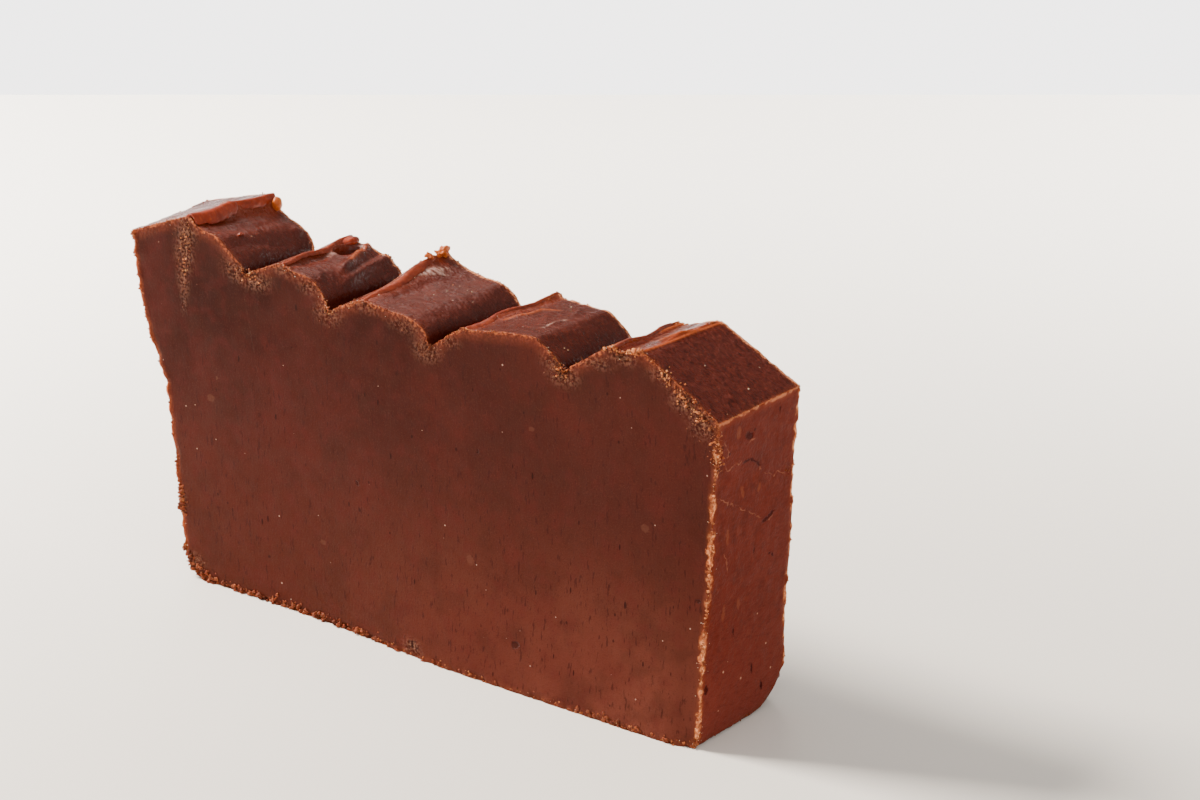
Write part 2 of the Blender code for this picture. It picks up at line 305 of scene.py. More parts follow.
def start_piece(name):
    """Names the primitive that was just added and settles it at the origin."""
    piece = bpy.context.object
    piece.name = name
    piece.data.name = name
    bpy.ops.object.transform_apply(location=True, rotation=True, scale=True)
    return piece


def nothing_selected():
    if bpy.context.object and bpy.context.object.mode != "OBJECT":
        bpy.ops.object.mode_set(mode="OBJECT")
    bpy.ops.object.select_all(action="DESELECT")


def cut_along(piece, axis, count):
    """Cuts every edge that runs along an axis of the cube into that many equal steps."""
    bpy.ops.mesh.select_all(action="DESELECT")
    shape = bmesh.from_edit_mesh(piece.data)
    shape.select_mode = {"EDGE"}
    for edge in shape.edges:
        ends = [vertex.co[axis] for vertex in edge.verts]
        edge.select_set(abs(ends[0] - ends[1]) > 0.5)
    shape.select_flush_mode()
    bmesh.update_edit_mesh(piece.data)
    bpy.ops.mesh.subdivide(number_cuts=count - 1)


def apply_modifier(piece, kind, **settings):
    """Adds a modifier with its settings and applies it."""
    nothing_selected()
    bpy.context.view_layer.objects.active = piece
    piece.select_set(True)
    modifier = piece.modifiers.new(kind.lower(), kind)
    for name, value in settings.items():
        setattr(modifier, name, value)
    bpy.ops.object.modifier_apply(modifier=modifier.name)


def side_of(middle):
    """The side of the unit cube that a face with this middle lies on."""
    reach = {LEFT: middle.x, RIGHT: 1.0 - middle.x, FRONT: middle.y, BACK: 1.0 - middle.y}
    reach.update({BASE: middle.z, TOP: 1.0 - middle.z})
    return min(reach, key=reach.get)


def slice_cage():
    """The slice as a cube cut into rows, its points put in place, its edges kept sharp, then smoothed."""
    tops = {depth: top_line(depth) for depth in THICKNESS_ROWS}
    columns = len(tops[0.0]) - 1
    counts = (columns, len(THICKNESS_ROWS) - 1, len(HEIGHT_ROWS) - 1)
    nothing_selected()
    bpy.ops.mesh.primitive_cube_add(size=1.0, location=(0.5, 0.5, 0.5))
    body = start_piece("fudge_slice")
    bpy.ops.object.mode_set(mode="EDIT")
    for axis, count in enumerate(counts):
        cut_along(body, axis, count)
    shape = bmesh.from_edit_mesh(body.data)
    crease = shape.edges.layers.float.new("crease_edge")
    for face in shape.faces:
        face.material_index = side_of(face.calc_center_median())
        face.smooth = True
    for edge in shape.edges:
        sides = {face.material_index for face in edge.link_faces}
        edge[crease] = 1.0 if len(sides) > 1 else 0.0
    bmesh.update_edit_mesh(body.data)
    bpy.ops.object.mode_set(mode="OBJECT")
    lip = body.data.attributes.new("lip", "FLOAT", "POINT")
    for vertex in body.data.vertices:
        column, row, level = (round(vertex.co[axis] * counts[axis]) for axis in range(3))
        depth, rise = THICKNESS_ROWS[row], HEIGHT_ROWS[level]
        vertex.co = slice_point(column, depth, rise, tops)
        if level == counts[2]:
            lip.data[vertex.index].value = tops[depth][column][2]
    apply_modifier(body, "SUBSURF", levels=SMOOTH_LEVELS, render_levels=SMOOTH_LEVELS)
    return body


# Working the surface


def points_of(piece):
    places = np.empty(len(piece.data.vertices) * 3)
    piece.data.vertices.foreach_get("co", places)
    return places.reshape(-1, 3)


def put_points(piece, places):
    piece.data.vertices.foreach_set("co", np.ascontiguousarray(places, dtype=float).ravel())
    piece.data.update()


def normals_of(piece):
    ways = np.empty(len(piece.data.vertices) * 3)
    piece.data.vertex_normals.foreach_get("vector", ways)
    return ways.reshape(-1, 3)


def side_points(piece):
    """For each side, which points of the mesh belong to one of its faces."""
    member = np.zeros((6, len(piece.data.vertices)), bool)
    for face in piece.data.polygons:
        member[face.material_index, list(face.vertices)] = True
    return member


OCTAVE_JOG = 7.3
OCTAVE_SHARE = 0.55  # how high each finer octave is, next to the one before


def roughness_at(places, size, octaves):
    """A noise between -1 and 1 at every place, whose bumps are about that size, in metres."""
    values = np.zeros(len(places))
    for octave in range(octaves):
        step = size * 0.5**octave
        jog = Vector((octave * OCTAVE_JOG, 0.0, 0.0))
        bumps = [noise.noise(Vector(place) / step + jog) for place in places]
        values += np.array(bumps) * OCTAVE_SHARE**octave
    return values


def along_line(places, line):
    """How far each place is from a line of points, and how far along the line it lies, from 0 to 1."""
    line = np.array(line, float)
    lengths = np.linalg.norm(line[1:] - line[:-1], axis=1)
    total = lengths.sum()
    away = np.full(len(places), 1e9)
    share = np.zeros(len(places))
    passed = 0.0
    for start, end, length in zip(line, line[1:], lengths):
        way = (end - start) / length
        reach = np.clip((places - start) @ way, 0.0, length)
        distance = np.linalg.norm(places - start - np.outer(reach, way), axis=1)
        nearer = distance < away
        away[nearer] = distance[nearer]
        share[nearer] = (passed + reach[nearer]) / total
        passed += length
    return away, share


# Marks on the top: each is a line of (x, y) points in mm, how wide it is, how high it stands (or how deep
# it is pressed, below 0), and how sharply it is drawn: 2 is a soft swell, 1 is a fold with an edge
Mark = namedtuple("Mark", "line width height sharp")
TOP_MARKS = (
    # Under the curled lip of the first fold
    Mark(((-50.0, -12.0), (-49.7, -6.0), (-50.0, -1.0), (-50.4, 1.5)), 0.8, -0.7, 2.0),
    Mark(((-50.6, 1.0), (-50.8, 6.0), (-51.0, 10.0)), 0.7, -0.5, 2.0),
    Mark(((-45.4, -12.0), (-44.6, -4.0), (-45.6, 6.0), (-46.0, 12.0)), 1.6, 0.25, 2.0),
    Mark(((-48.2, -6.0), (-47.6, 0.0), (-48.4, 7.0)), 0.6, 0.2, 1.6),
    Mark(((-42.6, -11.0), (-43.0, -5.0), (-42.4, 2.0), (-43.4, 9.0)), 0.6, -0.2, 1.6),
    Mark(((-40.6, -9.0), (-41.6, -2.0), (-41.4, 6.0)), 0.7, 0.15, 1.6),
    Mark(((-44.6, 9.5), (-43.6, 12.5)), 1.0, 0.7, 2.0),
    # The second fold: a hollow beside the lip, two diagonal ridges with a groove between, and a wrinkle
    Mark(((-27.0, -9.0), (-28.0, -3.0), (-28.6, 3.0)), 1.2, -0.45, 2.0),
    Mark(((-28.6, 12.0), (-26.7, 7.7), (-24.2, 2.2), (-21.9, -3.6)), 0.8, 0.85, 1.6),
    Mark(((-25.4, 12.3), (-24.4, 8.2), (-23.0, 3.0), (-21.5, -2.2)), 0.5, -0.5, 1.5),
    Mark(((-23.5, 12.2), (-22.3, 4.8), (-20.2, -2.5), (-19.1, -7.1)), 0.7, 0.5, 1.7),
    Mark(((-21.0, 10.4), (-20.2, 4.0), (-18.9, -3.0)), 0.5, -0.3, 1.5),
    Mark(
        ((-27.2, -11.6), (-26.0, -9.3), (-24.6, -7.7), (-23.3, -7.7), (-22.0, -8.4), (-21.1, -9.7)),
        0.5, 0.3, 1.5,
    ),
    Mark(((-27.6, -1.0), (-28.4, 3.4)), 0.6, 0.35, 2.0),
    # The third fold: a soft hollow behind the lip, and the bump beside its torn end
    Mark(((-5.8, -9.0), (-5.0, -3.0), (-4.0, 3.0)), 1.4, -0.25, 2.0),
    Mark(((-7.4, 4.4), (-5.6, 6.4)), 0.8, 0.35, 2.0),
    Mark(((4.0, 12.4), (4.8, 7.1), (5.9, 3.5), (6.0, -3.0), (5.5, -12.4)), 1.2, 0.15, 2.0),
    # The fourth fold: a low tongue, and wrinkles where the paddle dragged
    Mark(((17.9, -4.2), (20.0, -0.2), (19.8, 3.6), (22.1, 5.5)), 0.45, 0.4, 1.3),
    Mark(((22.1, 5.5), (22.4, 3.3), (21.9, -0.7), (20.0, -3.7)), 0.5, 0.25, 1.5),
    Mark(((25.2, -3.1), (23.1, 2.0)), 0.6, 0.3, 1.5),
    Mark(((27.8, -4.5), (27.1, 0.3)), 0.6, 0.3, 1.5),
    Mark(((27.5, 2.7), (24.0, 9.7)), 0.6, 0.3, 1.5),
    # The fifth fold: a groove between its two ribs
    Mark(((48.9, -12.5), (48.6, -4.3), (49.6, 1.7), (48.6, 12.5)), 0.7, -0.12, 2.0),
    Mark(((46.9, -12.4), (46.4, -3.0), (45.6, 4.0), (44.9, 12.4)), 0.35, 0.15, 1.5),
    Mark(((50.6, -3.5), (51.8, 0.4), (53.0, 3.6), (52.6, 6.0)), 0.4, 0.25, 1.4),
    Mark(((53.5, -12.3), (53.4, -5.1), (53.4, -1.3), (53.5, 3.2), (53.1, 12.5)), 0.5, 0.15, 1.7),
    Mark(((67.8, -4.4), (66.2, -3.2), (65.2, -3.0)), 0.45, 0.2, 1.5),
)
MARK_FADE = 0.18  # the share of a mark's length over which it fades in and out
HALF_THICK = 12.0  # mm, from the middle of the slice to a cut face
MARK_OUT = 11.5  # a mark that ends further than this from the middle, in mm, runs out through the face
MARK_OUT_REACH = 4.0  # mm in from the face, over which such a mark doesn't fade

# The pocket that tore open beside the second lip: its middle, its reach and its depth, in mm
POCKET = ((-28.3, 6.2), (1.6, 2.8), 4.6)
POCKET_RIM = 0.35  # mm
POCKET_RIM_AT, POCKET_RIM_WIDTH = 1.35, 0.35  # in the pocket's reaches
# The dark painted in the pocket is its shade
POCKET_DARK = 0.95  # how much of the pocket's reach is dark
# Where the skin is thin along a fold's fine edge and the light comes through: the line and its width in mm
BRIGHT_LINES = (
    (((17.9, -4.2), (20.0, -0.2), (19.8, 3.6), (22.1, 5.5)), 0.35),
    (((50.6, -3.5), (51.8, 0.4), (53.0, 3.6), (52.6, 6.0)), 0.35),
    (((46.8, -12.4), (46.4, -3.0), (45.6, 4.0), (44.9, 12.4)), 0.40),
    (((53.5, -12.3), (53.4, -1.3), (53.1, 12.5)), 0.30),
    (((-28.6, 12.0), (-26.7, 7.7), (-24.2, 2.2)), 0.40),
)
# Pale, smeared streaks, partly bloom where the top was rubbed and partly a painted highlight: the line and
# its width in mm
PALE_AND_HIGHLIGHT_LINES = (
    (((-8.0, 2.8), (-7.3, 5.2), (-6.3, 8.2)), 0.75),
    (((-6.4, 4.6), (-5.2, 6.6)), 0.45),
    (((-28.6, 1.2), (-28.0, 3.8)), 0.55),
    (((27.4, -5.6), (27.0, 1.4)), 0.20),
)
CREASE_GROOVE = (0.5, -0.75, 1.5)  # how wide, deep and sharp the crack under a fold is, as in a mark
OPEN_CREASES = 4  # the folds, from the left, that have such a crack
CREASE_SHADE = 1.1  # how wide the dark along a crack is, in mm
# How far the skin leans back where a painted sheen starts, and over how much more it grows to full strength
RISE_FROM, RISE_RUN = 0.16, 0.16
SKIN_ROUGH, SKIN_GRAIN = 0.10, 0.0030  # how high the skin's own unevenness is in mm, and its size


def near_lines(flat, lines):
    """How near each place is to the nearest of the lines, from 1 on it to 0 well away from it."""
    near = np.zeros(len(flat))
    for line, width in lines:
        away, _ = along_line(flat, line)
        near = np.maximum(near, np.exp(-((away / width) ** 2)))
    return near


def write_on(piece, name, values):
    """Writes a value on every point of a piece, for its finishes to read."""
    piece.data.attributes.new(name, "FLOAT", "POINT").data.foreach_set("value", values)


def work_top(body):
    """Presses and raises the marks of the top into the skin, without moving the cut faces sideways, and
    writes on its points where it is hollow (for painted shade), thin, rubbed pale (partly for a painted
    highlight), cracked under a fold (for painted shade) or leans back (for a painted sheen)."""
    places = points_of(body)
    top = side_points(body)[TOP]
    ways = normals_of(body)[top]
    ways[:, 1] = 0.0
    ways /= np.linalg.norm(ways, axis=1)[:, None]
    skin = places[top]
    flat = skin[:, :2] / MM
    lift = np.zeros(len(skin))
    for mark in TOP_MARKS:
        away, share = along_line(flat, mark.line)
        fade = np.clip(np.minimum(share, 1.0 - share) / MARK_FADE, 0.0, 1.0)
        through = HALF_THICK - np.abs(flat[:, 1])
        runs_out = max(abs(mark.line[0][1]), abs(mark.line[-1][1])) > MARK_OUT
        fade = np.maximum(fade, (through < MARK_OUT_REACH) & runs_out)
        lift += mark.height * np.exp(-((away / mark.width) ** mark.sharp)) * fade
    cracks = []
    width, height, sharp = CREASE_GROOVE
    for number in range(OPEN_CREASES):
        ends = [folds_at(depth)[1][number].crease[0] / MM for depth in (0.0, 1.0)]
        cracks.append(((ends[0], -HALF_THICK), (ends[1], HALF_THICK)))
        away, _ = along_line(flat, cracks[-1])
        lift += height * np.exp(-((away / width) ** sharp))
    middle, reach, depth = POCKET
    spread = np.sqrt((((flat - middle) / reach) ** 2).sum(1))
    lift -= depth * np.exp(-(spread**4))
    lift += POCKET_RIM * np.exp(-(((spread - POCKET_RIM_AT) / POCKET_RIM_WIDTH) ** 2))
    lift += SKIN_ROUGH * roughness_at(skin * (1.0, 0.5, 1.0), SKIN_GRAIN, 3)
    places[top] = skin + ways * (lift * MM)[:, None]
    put_points(body, places)
    for name, values in (
        ("hollow", np.exp(-((spread / POCKET_DARK) ** 4))),
        ("bright", near_lines(flat, BRIGHT_LINES)),
        ("pale", near_lines(flat, PALE_AND_HIGHLIGHT_LINES)),
        ("crack", near_lines(flat, [(line, CREASE_SHADE) for line in cracks])),
        ("rise", np.clip((-ways[:, 0] - RISE_FROM) / RISE_RUN, 0.0, 1.0)),
    ):
        whole = np.zeros(len(places))
        whole[top] = values
        write_on(body, name, whole)


# Where the cut faces crumbled: (x, z) of the middle of each patch in mm, its reach along both, how strongly
Patch = namedtuple("Patch", "middle reach strength")
CRUMBLY_PATCHES = (
    Patch((-52.2, 70.2), (1.9, 2.6), 1.0),
    Patch((-53.0, 66.0), (1.8, 3.2), 1.0),
    Patch((-53.6, 61.2), (1.2, 3.0), 0.9),
    Patch((-53.8, 57.0), (0.7, 2.4), 0.5),
    Patch((-38.6, 64.8), (3.2, 1.5), 1.0),
    Patch((-35.5, 64.2), (3.4, 1.6), 0.9),
    Patch((-40.5, 65.4), (2.6, 2.0), 0.5),
    Patch((-28.0, 67.4), (2.6, 1.0), 0.6),
    Patch((-21.5, 65.4), (2.4, 1.2), 0.6),
    Patch((-17.2, 61.6), (2.6, 1.8), 0.8),
    Patch((-8.0, 64.4), (3.0, 1.0), 0.5),
    Patch((1.5, 62.9), (3.4, 1.2), 0.6),
    Patch((6.2, 59.4), (2.4, 1.7), 1.0),
    Patch((11.0, 62.0), (2.5, 1.0), 0.5),
    Patch((35.0, 63.2), (2.2, 1.3), 0.7),
    Patch((37.0, 61.4), (2.6, 1.6), 1.0),
    Patch((44.0, 65.2), (3.0, 1.0), 0.6),
    Patch((49.8, 67.2), (2.4, 1.0), 0.9),
    Patch((58.5, 65.8), (2.6, 1.2), 0.7),
    Patch((63.0, 62.4), (2.6, 1.7), 1.0),
    Patch((66.6, 59.4), (2.4, 2.2), 1.0),
    Patch((-56.8, 15.6), (1.2, 2.0), 0.9),
    Patch((-54.6, 3.4), (2.6, 1.5), 0.8),
    Patch((3.3, 1.6), (1.8, 1.4), 0.9),
)
PATCH_DEPTH = 0.35  # mm
PATCH_GRAIN = 0.0008
PATCH_SINK = 0.35  # how much more goes in than out
PATCH_LEAST = 0.03  # the least strength that shows


def patches_of(side):
    """The crumbly patches of a cut face. On the back one they go with the folds to where those end."""
    if side == FRONT:
        return CRUMBLY_PATCHES
    patches = []
    for patch in CRUMBLY_PATCHES:
        x, z = patch.middle
        creases = [(fold.crease, back.crease) for fold, back in zip(FRONT_FOLDS[:-1], BACK_FOLDS)]
        front, back = min(creases, key=lambda pair: abs(pair[0][0] / MM - x))
        go = [(b - a) / MM for a, b in zip(front, back)]
        patches.append(patch._replace(middle=(x + go[0], z + go[1])))
    return patches


def patch_strength(flat, patches):
    """How crumbly each (x, z) place in mm of a cut face is."""
    strength = np.zeros(len(flat))
    for patch in patches:
        spread = (((flat - patch.middle) / patch.reach) ** 2).sum(1)
        strength = np.maximum(strength, patch.strength * np.exp(-spread))
    return strength


def crumble_patches(body):
    """Breaks up the cut faces where they crumbled, and writes how crumbly each point is."""
    member = side_points(body)
    places = points_of(body)
    crumbly = np.zeros(len(places))
    for side, way in ((FRONT, -1.0), (BACK, 1.0)):
        index = np.nonzero(member[side])[0]
        strength = patch_strength(places[index][:, [0, 2]] / MM, patches_of(side))
        shows = strength > PATCH_LEAST
        index, strength = index[shows], strength[shows]
        crumbly[index] = strength
        push = roughness_at(places[index], PATCH_GRAIN, 2) - PATCH_SINK
        places[index, 1] += way * PATCH_DEPTH * MM * strength * push
    put_points(body, places)
    write_on(body, "crumbly", crumbly)


# How crumbly the slice's edges are: the two sides that meet, how far the crumbling reaches in and how deep
# it goes, in mm, and the size of its bumps in metres
Break = namedtuple("Break", "sides reach depth size")
BREAKS = (
    Break((FRONT, TOP), 0.8, 0.22, 0.0010),
    Break((BACK, TOP), 0.8, 0.20, 0.0016),
    Break((FRONT, LEFT), 2.0, 0.55, 0.0022),
    Break((BACK, LEFT), 2.0, 0.85, 0.0022),
    Break((FRONT, RIGHT), 1.1, 0.50, 0.0016),
    Break((BACK, RIGHT), 1.0, 0.40, 0.0014),
    Break((TOP, RIGHT), 0.9, 0.30, 0.0014),
    Break((TOP, LEFT), 1.2, 0.45, 0.0016),
    Break((FRONT, BASE), 1.5, 0.70, 0.0018),
    Break((BACK, BASE), 1.5, 0.70, 0.0018),
    Break((LEFT, BASE), 1.2, 0.40, 0.0014),
    Break((RIGHT, BASE), 1.0, 0.30, 0.0014),
)
BREAK_SINK = 0.25  # how much more goes in than out


def edge_points(body, sides, member):
    """The points where two sides meet."""
    return np.nonzero(member[sides[0]] & member[sides[1]])[0]


def surface_tree(places):
    """A tree that finds the nearest of the places."""
    tree = KDTree(len(places))
    for number, place in enumerate(places):
        tree.insert(place, number)
    tree.balance()
    return tree


def distance_to(places, targets):
    """How far each place is from the nearest of the targets."""
    tree = surface_tree(targets)
    return np.array([tree.find(place)[2] for place in places])


def crumble_edges(body):
    """Breaks the slice's edges: the surface goes in and out near each of them."""
    member = side_points(body)
    places = points_of(body)
    ways = normals_of(body)
    rest = places.copy()
    for part in BREAKS:
        edge = rest[edge_points(body, part.sides, member)]
        near = member[part.sides[0]] | member[part.sides[1]]
        low, high = edge.min(0) - part.reach * MM, edge.max(0) + part.reach * MM
        near &= ((rest > low) & (rest < high)).all(1)
        index = np.nonzero(near)[0]
        distance = distance_to(rest[index], edge) / MM
        close = np.clip(1.0 - distance / part.reach, 0.0, 1.0)
        index, close = index[close > 0.0], close[close > 0.0]
        push = roughness_at(rest[index], part.size, 2) - BREAK_SINK
        places[index] += ways[index] * (push * close * part.depth * MM)[:, None]
    places[:, 2] = np.maximum(places[:, 2], 0.0)
    places[member[BASE] & (rest[:, 2] < 1e-6), 2] = 0.0
    put_points(body, places)


def mark_edges(body):
    """Writes on each point how far it is from the skin, from both ends and from the base, in mm."""
    member = side_points(body)
    places = points_of(body)
    for name, sides in (
        ("skin_edge", ((FRONT, TOP), (BACK, TOP), (RIGHT, TOP), (LEFT, TOP))),
        ("back_skin_edge", ((BACK, TOP),)),
        ("right_edge", ((FRONT, RIGHT), (BACK, RIGHT))),
        ("left_edge", ((FRONT, LEFT), (BACK, LEFT))),
        ("foot_edge", ((FRONT, BASE), (BACK, BASE), (LEFT, BASE), (RIGHT, BASE))),
    ):
        edge = np.concatenate([places[edge_points(body, pair, member)] for pair in sides])
        far = distance_to(places, edge) / MM
        write_on(body, name, far)


FLAT_FROM = 2.7  # mm from every edge, past all that is drawn along the edges
FLAT_ANGLE = math.radians(0.15)
FLAT_STRIP = 10  # mm
FLAT_ENDS = (-80, 80)  # mm, past both ends of the slice


def join_flat_middle(body):
    """Joins the small faces in the middle of the cut faces and of the base, where they are all but flat. It
    goes strip by strip, because joining them all at once takes long."""
    nothing_selected()
    bpy.context.view_layer.objects.active = body
    body.select_set(True)
    bpy.ops.object.mode_set(mode="EDIT")
    for start in range(*FLAT_ENDS, FLAT_STRIP):
        bpy.ops.mesh.select_all(action="DESELECT")
        shape = bmesh.from_edit_mesh(body.data)
        far = [shape.verts.layers.float[name + "_edge"] for name in ("skin", "right", "left", "foot")]
        crumbly = shape.verts.layers.float["crumbly"]
        for face in shape.faces:
            if face.material_index not in (FRONT, BACK, BASE):
                continue
            if not start <= face.calc_center_median().x / MM < start + FLAT_STRIP:
                continue
            face.select_set(
                all(
                    point[crumbly] == 0.0 and min(point[layer] for layer in far) > FLAT_FROM
                    for point in face.verts
                )
            )
        bmesh.update_edit_mesh(body.data)
        bpy.ops.mesh.dissolve_limited(angle_limit=FLAT_ANGLE)
    bpy.ops.object.mode_set(mode="OBJECT")


# Torn lips along the crests of the folds. Each has its root behind the crest and rows along y, with the
# ridge of the lip and its free edge, as (x, z) offsets in mm from the crest of its fold at that y. Then
# come its thickness in mm and how ragged its free edge is
Lip = namedtuple("Lip", "name fold root rows thickness ragged")
DEEP_ROOT = (-1.4, -0.8)
SHALLOW_ROOT = (-0.4, -0.35)
LIPS = (
    Lip(
        "curled_lip", 0, DEEP_ROOT,
        (
            (-11.95, (0.3, 0.30), (1.7, -1.3)),
            (-10.8, (0.5, 0.30), (1.9, -1.7)),
            (-8.3, (0.6, 0.25), (2.1, -1.9)),
            (-5.0, (0.6, 0.30), (2.1, -2.0)),
            (-2.0, (0.5, 0.30), (1.8, -2.0)),
            (0.2, (0.4, 0.25), (1.5, -1.8)),
            (0.9, (0.3, 0.15), (1.1, -1.3)),
        ),
        0.7, 0.25,
    ),
    Lip(
        "rolled_lip", 0, DEEP_ROOT,
        (
            (0.0, (0.0, -0.05), (0.7, -1.3)),
            (4.0, (0.1, 0.10), (0.9, -1.6)),
            (7.5, (0.1, 0.10), (0.9, -1.7)),
            (9.6, (0.1, 0.10), (0.8, -1.7)),
            (11.9, (0.0, 0.0), (0.5, -1.2)),
        ),
        0.7, 0.10,
    ),
    Lip(
        "second_lip", 1, SHALLOW_ROOT,
        (
            (-11.95, (0.25, 0.02), (0.8, -0.45)),
            (-6.0, (0.3, 0.05), (1.0, -0.55)),
            (-1.0, (0.35, 0.08), (1.1, -0.65)),
            (4.5, (0.4, 0.10), (1.2, -0.80)),
            (8.0, (0.45, 0.12), (1.3, -1.0)),
            (10.4, (0.45, 0.10), (1.2, -1.1)),
            (11.9, (0.2, 0.0), (0.7, -0.7)),
        ),
        0.4, 0.12,
    ),
    Lip(
        "third_lip", 2, SHALLOW_ROOT,
        (
            (-11.95, (0.2, 0.0), (0.8, -0.40)),
            (-6.0, (0.35, 0.04), (1.3, -0.55)),
            (-1.0, (0.45, 0.06), (1.7, -0.75)),
            (3.5, (0.4, 0.05), (1.8, -0.95)),
            (6.5, (0.2, 0.02), (1.0, -0.8)),
            (8.5, (0.1, 0.0), (0.5, -0.5)),
        ),
        0.35, 0.10,
    ),
    Lip(
        "fourth_lip", 3, SHALLOW_ROOT,
        (
            (-11.95, (0.3, 0.02), (1.1, -0.35)),
            (-9.0, (0.4, 0.05), (1.6, -0.45)),
            (-6.0, (0.4, 0.05), (1.5, -0.45)),
            (-4.2, (0.3, 0.02), (0.9, -0.35)),
        ),
        0.35, 0.15,
    ),
    Lip(
        "fourth_lip_far", 3, SHALLOW_ROOT,
        (
            (-5.0, (0.0, 0.0), (0.5, -0.35)),
            (-1.0, (0.3, 0.05), (0.9, -0.55)),
            (4.0, (0.35, 0.08), (1.0, -0.75)),
            (9.0, (0.35, 0.08), (1.0, -0.85)),
            (11.9, (0.2, 0.0), (0.7, -0.7)),
        ),
        0.35, 0.15,
    ),
    Lip(
        "fifth_lip", 4, SHALLOW_ROOT,
        (
            (-11.95, (0.2, 0.0), (0.7, -0.40)),
            (-6.0, (0.2, 0.02), (0.7, -0.45)),
            (1.0, (0.25, 0.05), (0.8, -0.50)),
            (7.0, (0.25, 0.05), (0.8, -0.50)),
            (9.6, (0.1, 0.0), (0.5, -0.35)),
        ),
        0.3, 0.12,
    ),
)
LIP_ACROSS = 9
LIP_STEP = 0.5  # mm
LIP_TEARS = ((1.1, 3.1), (0.45, 9.7))  # the sizes in mm of the wide and the narrow tears, and their jogs
LIP_THIN = 0.35  # how thick the free edge is, next to the root
LIP_ROUGH, LIP_GRAIN = 0.07, 0.0009  # how high the lip's unevenness is in mm, and its size


def roughened(piece, height, size, octaves):
    """A piece whose surface goes in and out by a height in mm, with bumps of a size in metres."""
    places = points_of(piece)
    places += normals_of(piece) * (height * MM * roughness_at(places, size, octaves))[:, None]
    put_points(piece, places)
    piece.data.shade_smooth()
    return piece


def row_at(rows, y):
    """The ridge and the free edge at a place along a lip."""
    for near, far in zip(rows, rows[1:]):
        if y <= far[0]:
            break
    share = ease(min(1.0, max(0.0, (y - near[0]) / (far[0] - near[0]))))
    return [mix_points(a, b, share) for a, b in zip(near[1:], far[1:])]


def make_lip(lip):
    """A thin torn lip: a strip bent over the crest, given a thickness that thins out to its ragged edge."""
    first, last = lip.rows[0][0], lip.rows[-1][0]
    count = round((last - first) / LIP_STEP)
    nothing_selected()
    bpy.ops.mesh.primitive_grid_add(x_subdivisions=LIP_ACROSS, y_subdivisions=count, size=1.0)
    piece = start_piece(lip.name)
    thick = piece.vertex_groups.new(name="thick")
    for vertex in piece.data.vertices:
        across, along = vertex.co.x + 0.5, vertex.co.y + 0.5
        y = mix(first, last, along)
        _, sections = folds_at(y * MM / THICKNESS + 0.5)
        crest = sections[lip.fold].crest
        ridge, edge = row_at(lip.rows, y)
        (wide, wide_jog), (narrow, narrow_jog) = LIP_TEARS
        tear = lip.ragged * noise.noise(Vector((y / wide, wide_jog * lip.fold, 0.0)))
        tear += 0.5 * lip.ragged * noise.noise(Vector((y / narrow, narrow_jog + lip.fold, 0.0)))
        edge = mix_points(edge, ridge, tear)
        bend = tuple(2.0 * r - 0.5 * (a + b) for r, a, b in zip(ridge, lip.root, edge))
        back, over, out = (1.0 - across) ** 2, 2.0 * across * (1.0 - across), across**2
        x, z = (back * a + over * b + out * c for a, b, c in zip(lip.root, bend, edge))
        vertex.co = Vector((crest[0] + x * MM, y * MM, crest[1] + z * MM))
        thick.add([vertex.index], mix(1.0, LIP_THIN, across), "REPLACE")
    bpy.context.view_layer.objects.active = piece
    bpy.ops.object.mode_set(mode="EDIT")
    bpy.ops.mesh.select_all(action="SELECT")
    bpy.ops.mesh.normals_make_consistent(inside=False)
    bpy.ops.object.mode_set(mode="OBJECT")
    if sum(face.normal.z * face.area for face in piece.data.polygons) < 0.0:
        piece.data.flip_normals()
    apply_modifier(
        piece,
        "SOLIDIFY",
        thickness=lip.thickness * MM,
        offset=-1.0,
        vertex_group="thick",
        use_even_offset=True,
    )
    apply_modifier(piece, "SUBSURF", levels=1, render_levels=1)
    return roughened(piece, LIP_ROUGH, LIP_GRAIN, 2)


# Lumps: torn chunks and the bead, each a sphere that is stretched and broken up. The place and half size
# are in mm, the turn is in degrees, and the last two say how rough it is and how large its bumps are
Lump = namedtuple("Lump", "name place half_size turn rough size")
LUMPS = (
    Lump("lip_bead", (-50.5, 10.8, 70.5), (0.95, 1.1, 1.45), 0.0, 0.10, 0.0018),
    Lump("torn_peak", (-9.0, 10.4, 69.0), (0.8, 1.4, 0.75), -12.0, 0.6, 0.0010),
    Lump("torn_peak_chip", (-9.6, 7.3, 68.9), (0.7, 0.7, 0.5), 15.0, 0.45, 0.0009),
    Lump("second_lip_end", (-31.3, 9.6, 67.0), (1.45, 2.3, 0.85), -8.0, 0.12, 0.0022),
    Lump("fold_end_knob", (-43.9, 11.3, 65.0), (0.9, 0.7, 0.7), 0.0, 0.2, 0.0012),
    Lump("plateau_chip", (-44.4, -5.9, 69.7), (0.5, 0.7, 0.25), 20.0, 0.2, 0.0008),
)
LUMP_ROUGH = 1.6  # mm, for a lump whose roughness is 1


def make_lump(lump):
    """A lump of fudge that tore loose but stayed on."""
    nothing_selected()
    bpy.ops.mesh.primitive_ico_sphere_add(
        subdivisions=4,
        radius=MM,
        location=Vector(lump.place) * MM,
        rotation=(0.0, 0.0, math.radians(lump.turn)),
        scale=lump.half_size,
    )
    return roughened(start_piece(lump.name), lump.rough * LUMP_ROUGH, lump.size, 3)


